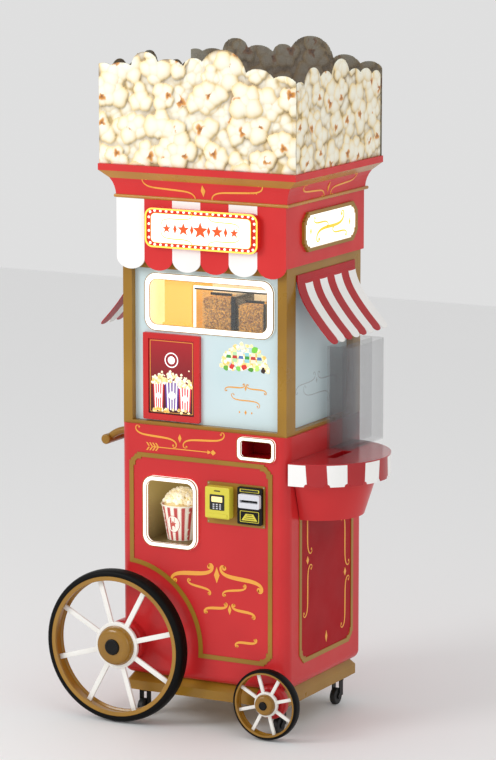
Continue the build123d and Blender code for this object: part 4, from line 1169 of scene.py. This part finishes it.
post = boxMesh((railX[0] - 4, railX[0]), railY, (z0, z1 - 34))
lay("lampRail", joinShapes([rail, post]), None, bulbGlow, "lit_acrylic")
lay("lampRailEdge", boxMesh(railX, grow(railY, 1), (z1 - 46, z1 - 41)), None, displayBlack, "black_plastic")

kernel = grainMesh("kernelGrain", 3.7, [((0, 0, 1), 0.55, 3), ((0.4, 0, -1), -0.2, 2)], 1)
kernelCore = newMaterial("kernelCoreShadow", Base_Color=linear("#7A4510"), Roughness=0.8)[0]
hopperCells = ((hopperX[0] + 8, 73, hopperZ[1] - 26), (101, hopperX[1] - 8, hopperZ[1] - 42))
for number, (a, b, top) in enumerate(hopperCells):
    ya, yb = hopperY[0] + 8, hopperY[1] - 8
    kernelRandom = np.random.default_rng(40 + number)
    za = hopperZ[0] + 6
    step = 5.6
    xs, zs = np.arange(a + 4, b - 3, step), np.arange(za + 3, top, step)
    wall = []
    for y in (ya + 3.6, ya + 8.5, yb - 3.6):
        grid = np.array([(x, y, z) for x in xs for z in zs])
        wall.append(grid + kernelRandom.normal(0, 1.1, grid.shape))
    cap = np.array([(x, y, top) for x in xs for y in np.arange(ya + 3, yb - 2, step)])
    wall.append(cap + kernelRandom.normal(0, 1.2, cap.shape))
    seeds = np.concatenate(wall)
    scatter(f"kernels{number}", seeds, kernel, 7 + number, (0.78, 1.05), "cabinet",
            kernelSkin, ("#F7B94A", "#8A4A10"))
    # a dark brown box in each hopper stands for the kernels deeper in: their colour with painted shade for the
    # depth of the heap
    core = boxMesh((a + 4, b - 4), (ya + 10, yb - 6), (za, top - 3))
    lay(f"kernelCore{number}", core, None, kernelCore, "clear_acrylic")
    # black rim and divider that hold each hopper
    left, right, divider, drop = ((hopperX[0] + 5, 78, 18, 0), (98, hopperX[1] - 5, 6, 18))[number]
    height, lipY = hopperZ[1] - drop, hopperY[0] - 1.5
    rim = boxMesh((left + 38, right + 2), (lipY, hopperY[0] + 5), (height - 9, height))
    wall = boxMesh((right + 1, right + divider), (lipY, hopperY[1]), (hopperZ[0], height - 10))
    lay(f"hopperRail{number}", joinShapes([rim, wall]), None, displayBlack, "black_plastic")

cupX, cupY, cupZ = span("popcorn_cup")
cupAt = (sum(cupX) / 2, sum(cupY) / 2)
topRadius = (cupX[1] - cupX[0]) / 2 - 0.5
footRadius = topRadius * 0.672
cupTall = 128
cupTop = cupZ[0] + cupTall


def cupLine(z):
    return footRadius + (topRadius - 2 - footRadius) * (z - cupZ[0]) / cupTall


profile = [(0, cupZ[0] + 6), (footRadius - 3, cupZ[0] + 6), (footRadius - 2.6, cupZ[0] + 0.2),
           (footRadius - 0.4, cupZ[0] + 0.2)]
profile += [(cupLine(z), z) for z in np.linspace(cupZ[0] + 2, cupTop - 3, 26)]
profile += [tuple(p) for p in arcPoints(topRadius - 2.4, cupTop - 1.9, 1.9, -90, 180, 9)]
profile += [(cupLine(cupTop) - 3.2, cupTop - 8), (cupLine(cupTop) - 4.2, cupTop - 26), (0, cupTop - 26)]
points, faces = turned(profile, 96)
points += (*cupAt, 0)
piece = makePiece("paperCup", points, faces, [paperPrint], "popcorn_cup", "paper_cup", ["popcorn_cup"], True)
turn = np.degrees(np.arctan2(points[:, 1] - cupAt[1], points[:, 0] - cupAt[0]))
redInk, whiteInk = np.array(linear("#B8202A")), np.array(linear("#F5EFE2"))
stripes = (np.floor((turn + 360 + 3.75) / 11.25) % 2)[:, None]
ink = redInk * stripes + whiteInk * (1 - stripes)
high = (points[:, 2] > cupTop - 5) | (points[:, 2] < cupZ[0] + 1)
ink[high] = whiteInk
paint(piece, ink)
# oval label towards the customer, with a generic star
shapes, colours = [], []
marks = [(dot((0, 0), 1, 36) * (25, 31), "#B8202A"), (dot((0, 0), 1, 36) * (23.2, 29.2), "#F7F2E6")]
for number, (outline, code) in enumerate(marks + [(np.array(star((0, 0), 13)), "#C0392F")]):
    lift = 0.5 + 0.35 * min(number, 2)
    shapes += raised(flat(outline), lift - 0.4, lift)
    colours += [linear(code)] * (2 * len(outline))
points, faces, _ = joinShapes(shapes)
cz = cupZ[0] + 62
radius = np.array([cupLine(cz + v) for v in points[:, 1]]) + points[:, 2]
a = math.radians(-90) + points[:, 0] / cupLine(cz)
label = np.stack([cupAt[0] + radius * np.cos(a), cupAt[1] + radius * np.sin(a), cz + points[:, 1]], 1)
piece = makePiece("cupLabel", label, faces, [paperPrint], "popcorn_cup", "paper_cup")
paint(piece, colours)

lobes = [((1, 0, 0.2), 0.55, 5), ((-0.7, 0.7, 0), 0.5, 5), ((-0.5, -0.8, 0.3), 0.5, 5), ((0, 0.1, 1), 0.42, 5),
         ((0.2, 0.3, -1), -0.25, 3)]
flake = grainMesh("flakeGrain", 8.5, lobes, 3)
cupRandom = np.random.default_rng(77)
seeds = []
heapTop = cupZ[1] - 14
for k in range(1300):
    a, r = cupRandom.uniform(0, 2 * math.pi), math.sqrt(cupRandom.random()) * (topRadius - 14)
    dome = cupTop - 4 + (heapTop - cupTop + 4) * (1 - (r / (topRadius - 8)) ** 2) ** 0.8
    p = np.array((cupAt[0] + r * math.cos(a), cupAt[1] + r * math.sin(a), dome - cupRandom.random() * 6))
    if all(np.linalg.norm(p - q) > 10.4 for q in seeds):
        seeds.append(p)
scatter("cupPopcorn", seeds, flake, 31, (0.75, 1.02), "popcorn_cup", popcornSkin,
        ("#FFFCEE", "#F8E6B4"))
points, faces = turned([(0, cupTop - 24), (topRadius - 12, cupTop - 24), (topRadius - 10, cupTop - 8),
                        (topRadius * 0.6, heapTop - 18), (0, heapTop - 8)], 32)
points += (*cupAt, 0)
coreTone = newMaterial("popcornCore", Base_Color=linear("#F2DCA2"), Roughness=0.7)[0]
makePiece("cupPopcornCore", points, faces, [coreTone], "popcorn_cup", "paper_cup")
print("cup filled")

screwGrain, loops = turned([(0, 0), (4.2, 0), (4.2, 1.0), (3.4, 1.9), (1.6, 2.1), (1.5, 0.9), (0, 0.9)], 20)
mesh = bpy.data.meshes.new("screwGrain")
mesh.from_pydata([tuple(p) for p in screwGrain * mm], [], loops)
screw = bpy.data.objects.new("screwGrain", mesh)
work = bmesh.new()
work.from_mesh(mesh)
bmesh.ops.recalc_face_normals(work, faces=work.faces)
bmesh.ops.rotate(work, cent=(0, 0, 0), matrix=Matrix.Rotation(math.radians(90), 3, "X"), verts=work.verts)
work.to_mesh(mesh)
work.free()
plateX, plateY, plateZ = span("payment_plate")
spots = [(x, plateY[0] + 0.1, z) for x in (plateX[0] + 5.5, plateX[1] - 4.8)
         for z in (plateZ[0] + 6, plateZ[1] - 6)]
scatter("plateScrews", spots, screw, 90, (0.62, 0.62), "cabinet", steel, ("#AAAAAA", "#AAAAAA"), 0.0)
print("fittings set")


# pale floor, even light from everywhere and two soft lamps
floorSize = 9.0
floorMesh = bpy.data.meshes.new("floor")
floorMesh.from_pydata([(-floorSize, -floorSize, 0), (floorSize, -floorSize, 0), (floorSize, floorSize, 0),
                       (-floorSize, floorSize, 0)], [], [(0, 1, 2, 3)])
floor = bpy.data.objects.new("floor", floorMesh)
scene.collection.objects.link(floor)
floorMesh.materials.append(newMaterial("studioFloor", Base_Color=(0.90, 0.90, 0.90, 1), Roughness=0.6)[0])

world = bpy.data.worlds.new("studio")
scene.world = world
world.use_nodes = True
world.node_tree.nodes["Background"].inputs["Color"].default_value = (1, 1, 1, 1)
world.node_tree.nodes["Background"].inputs["Strength"].default_value = 0.74


def softBox(name, place, target, size, power):
    lamp = bpy.data.lights.new(name, "AREA")
    lamp.shape = "RECTANGLE"
    lamp.size, lamp.size_y = size
    lamp.energy = power
    thing = bpy.data.objects.new(name, lamp)
    scene.collection.objects.link(thing)
    thing.location = place
    thing.rotation_euler = (Vector(target) - Vector(place)).to_track_quat("-Z", "Y").to_euler()


softBox("keyLight", (-3.2, -4.6, 3.6), (0, 0, 1.1), (2.4, 2.4), 125)
softBox("fillLight", (4.6, -3.4, 2.2), (0, 0, 1.0), (2.0, 2.8), 26)

shot = {"place": (5.873, -11.013, 3.424), "down": 0.176, "turn": 0.487, "lens": 169.9}
lens = bpy.data.cameras.new("camera")
lens.lens = shot["lens"]
lens.clip_end = 60
lens.dof.use_dof = False
camera = bpy.data.objects.new("camera", lens)
scene.collection.objects.link(camera)
camera.location = shot["place"]
camera.rotation_euler = (math.pi / 2 - shot["down"], 0, shot["turn"])
scene.camera = camera
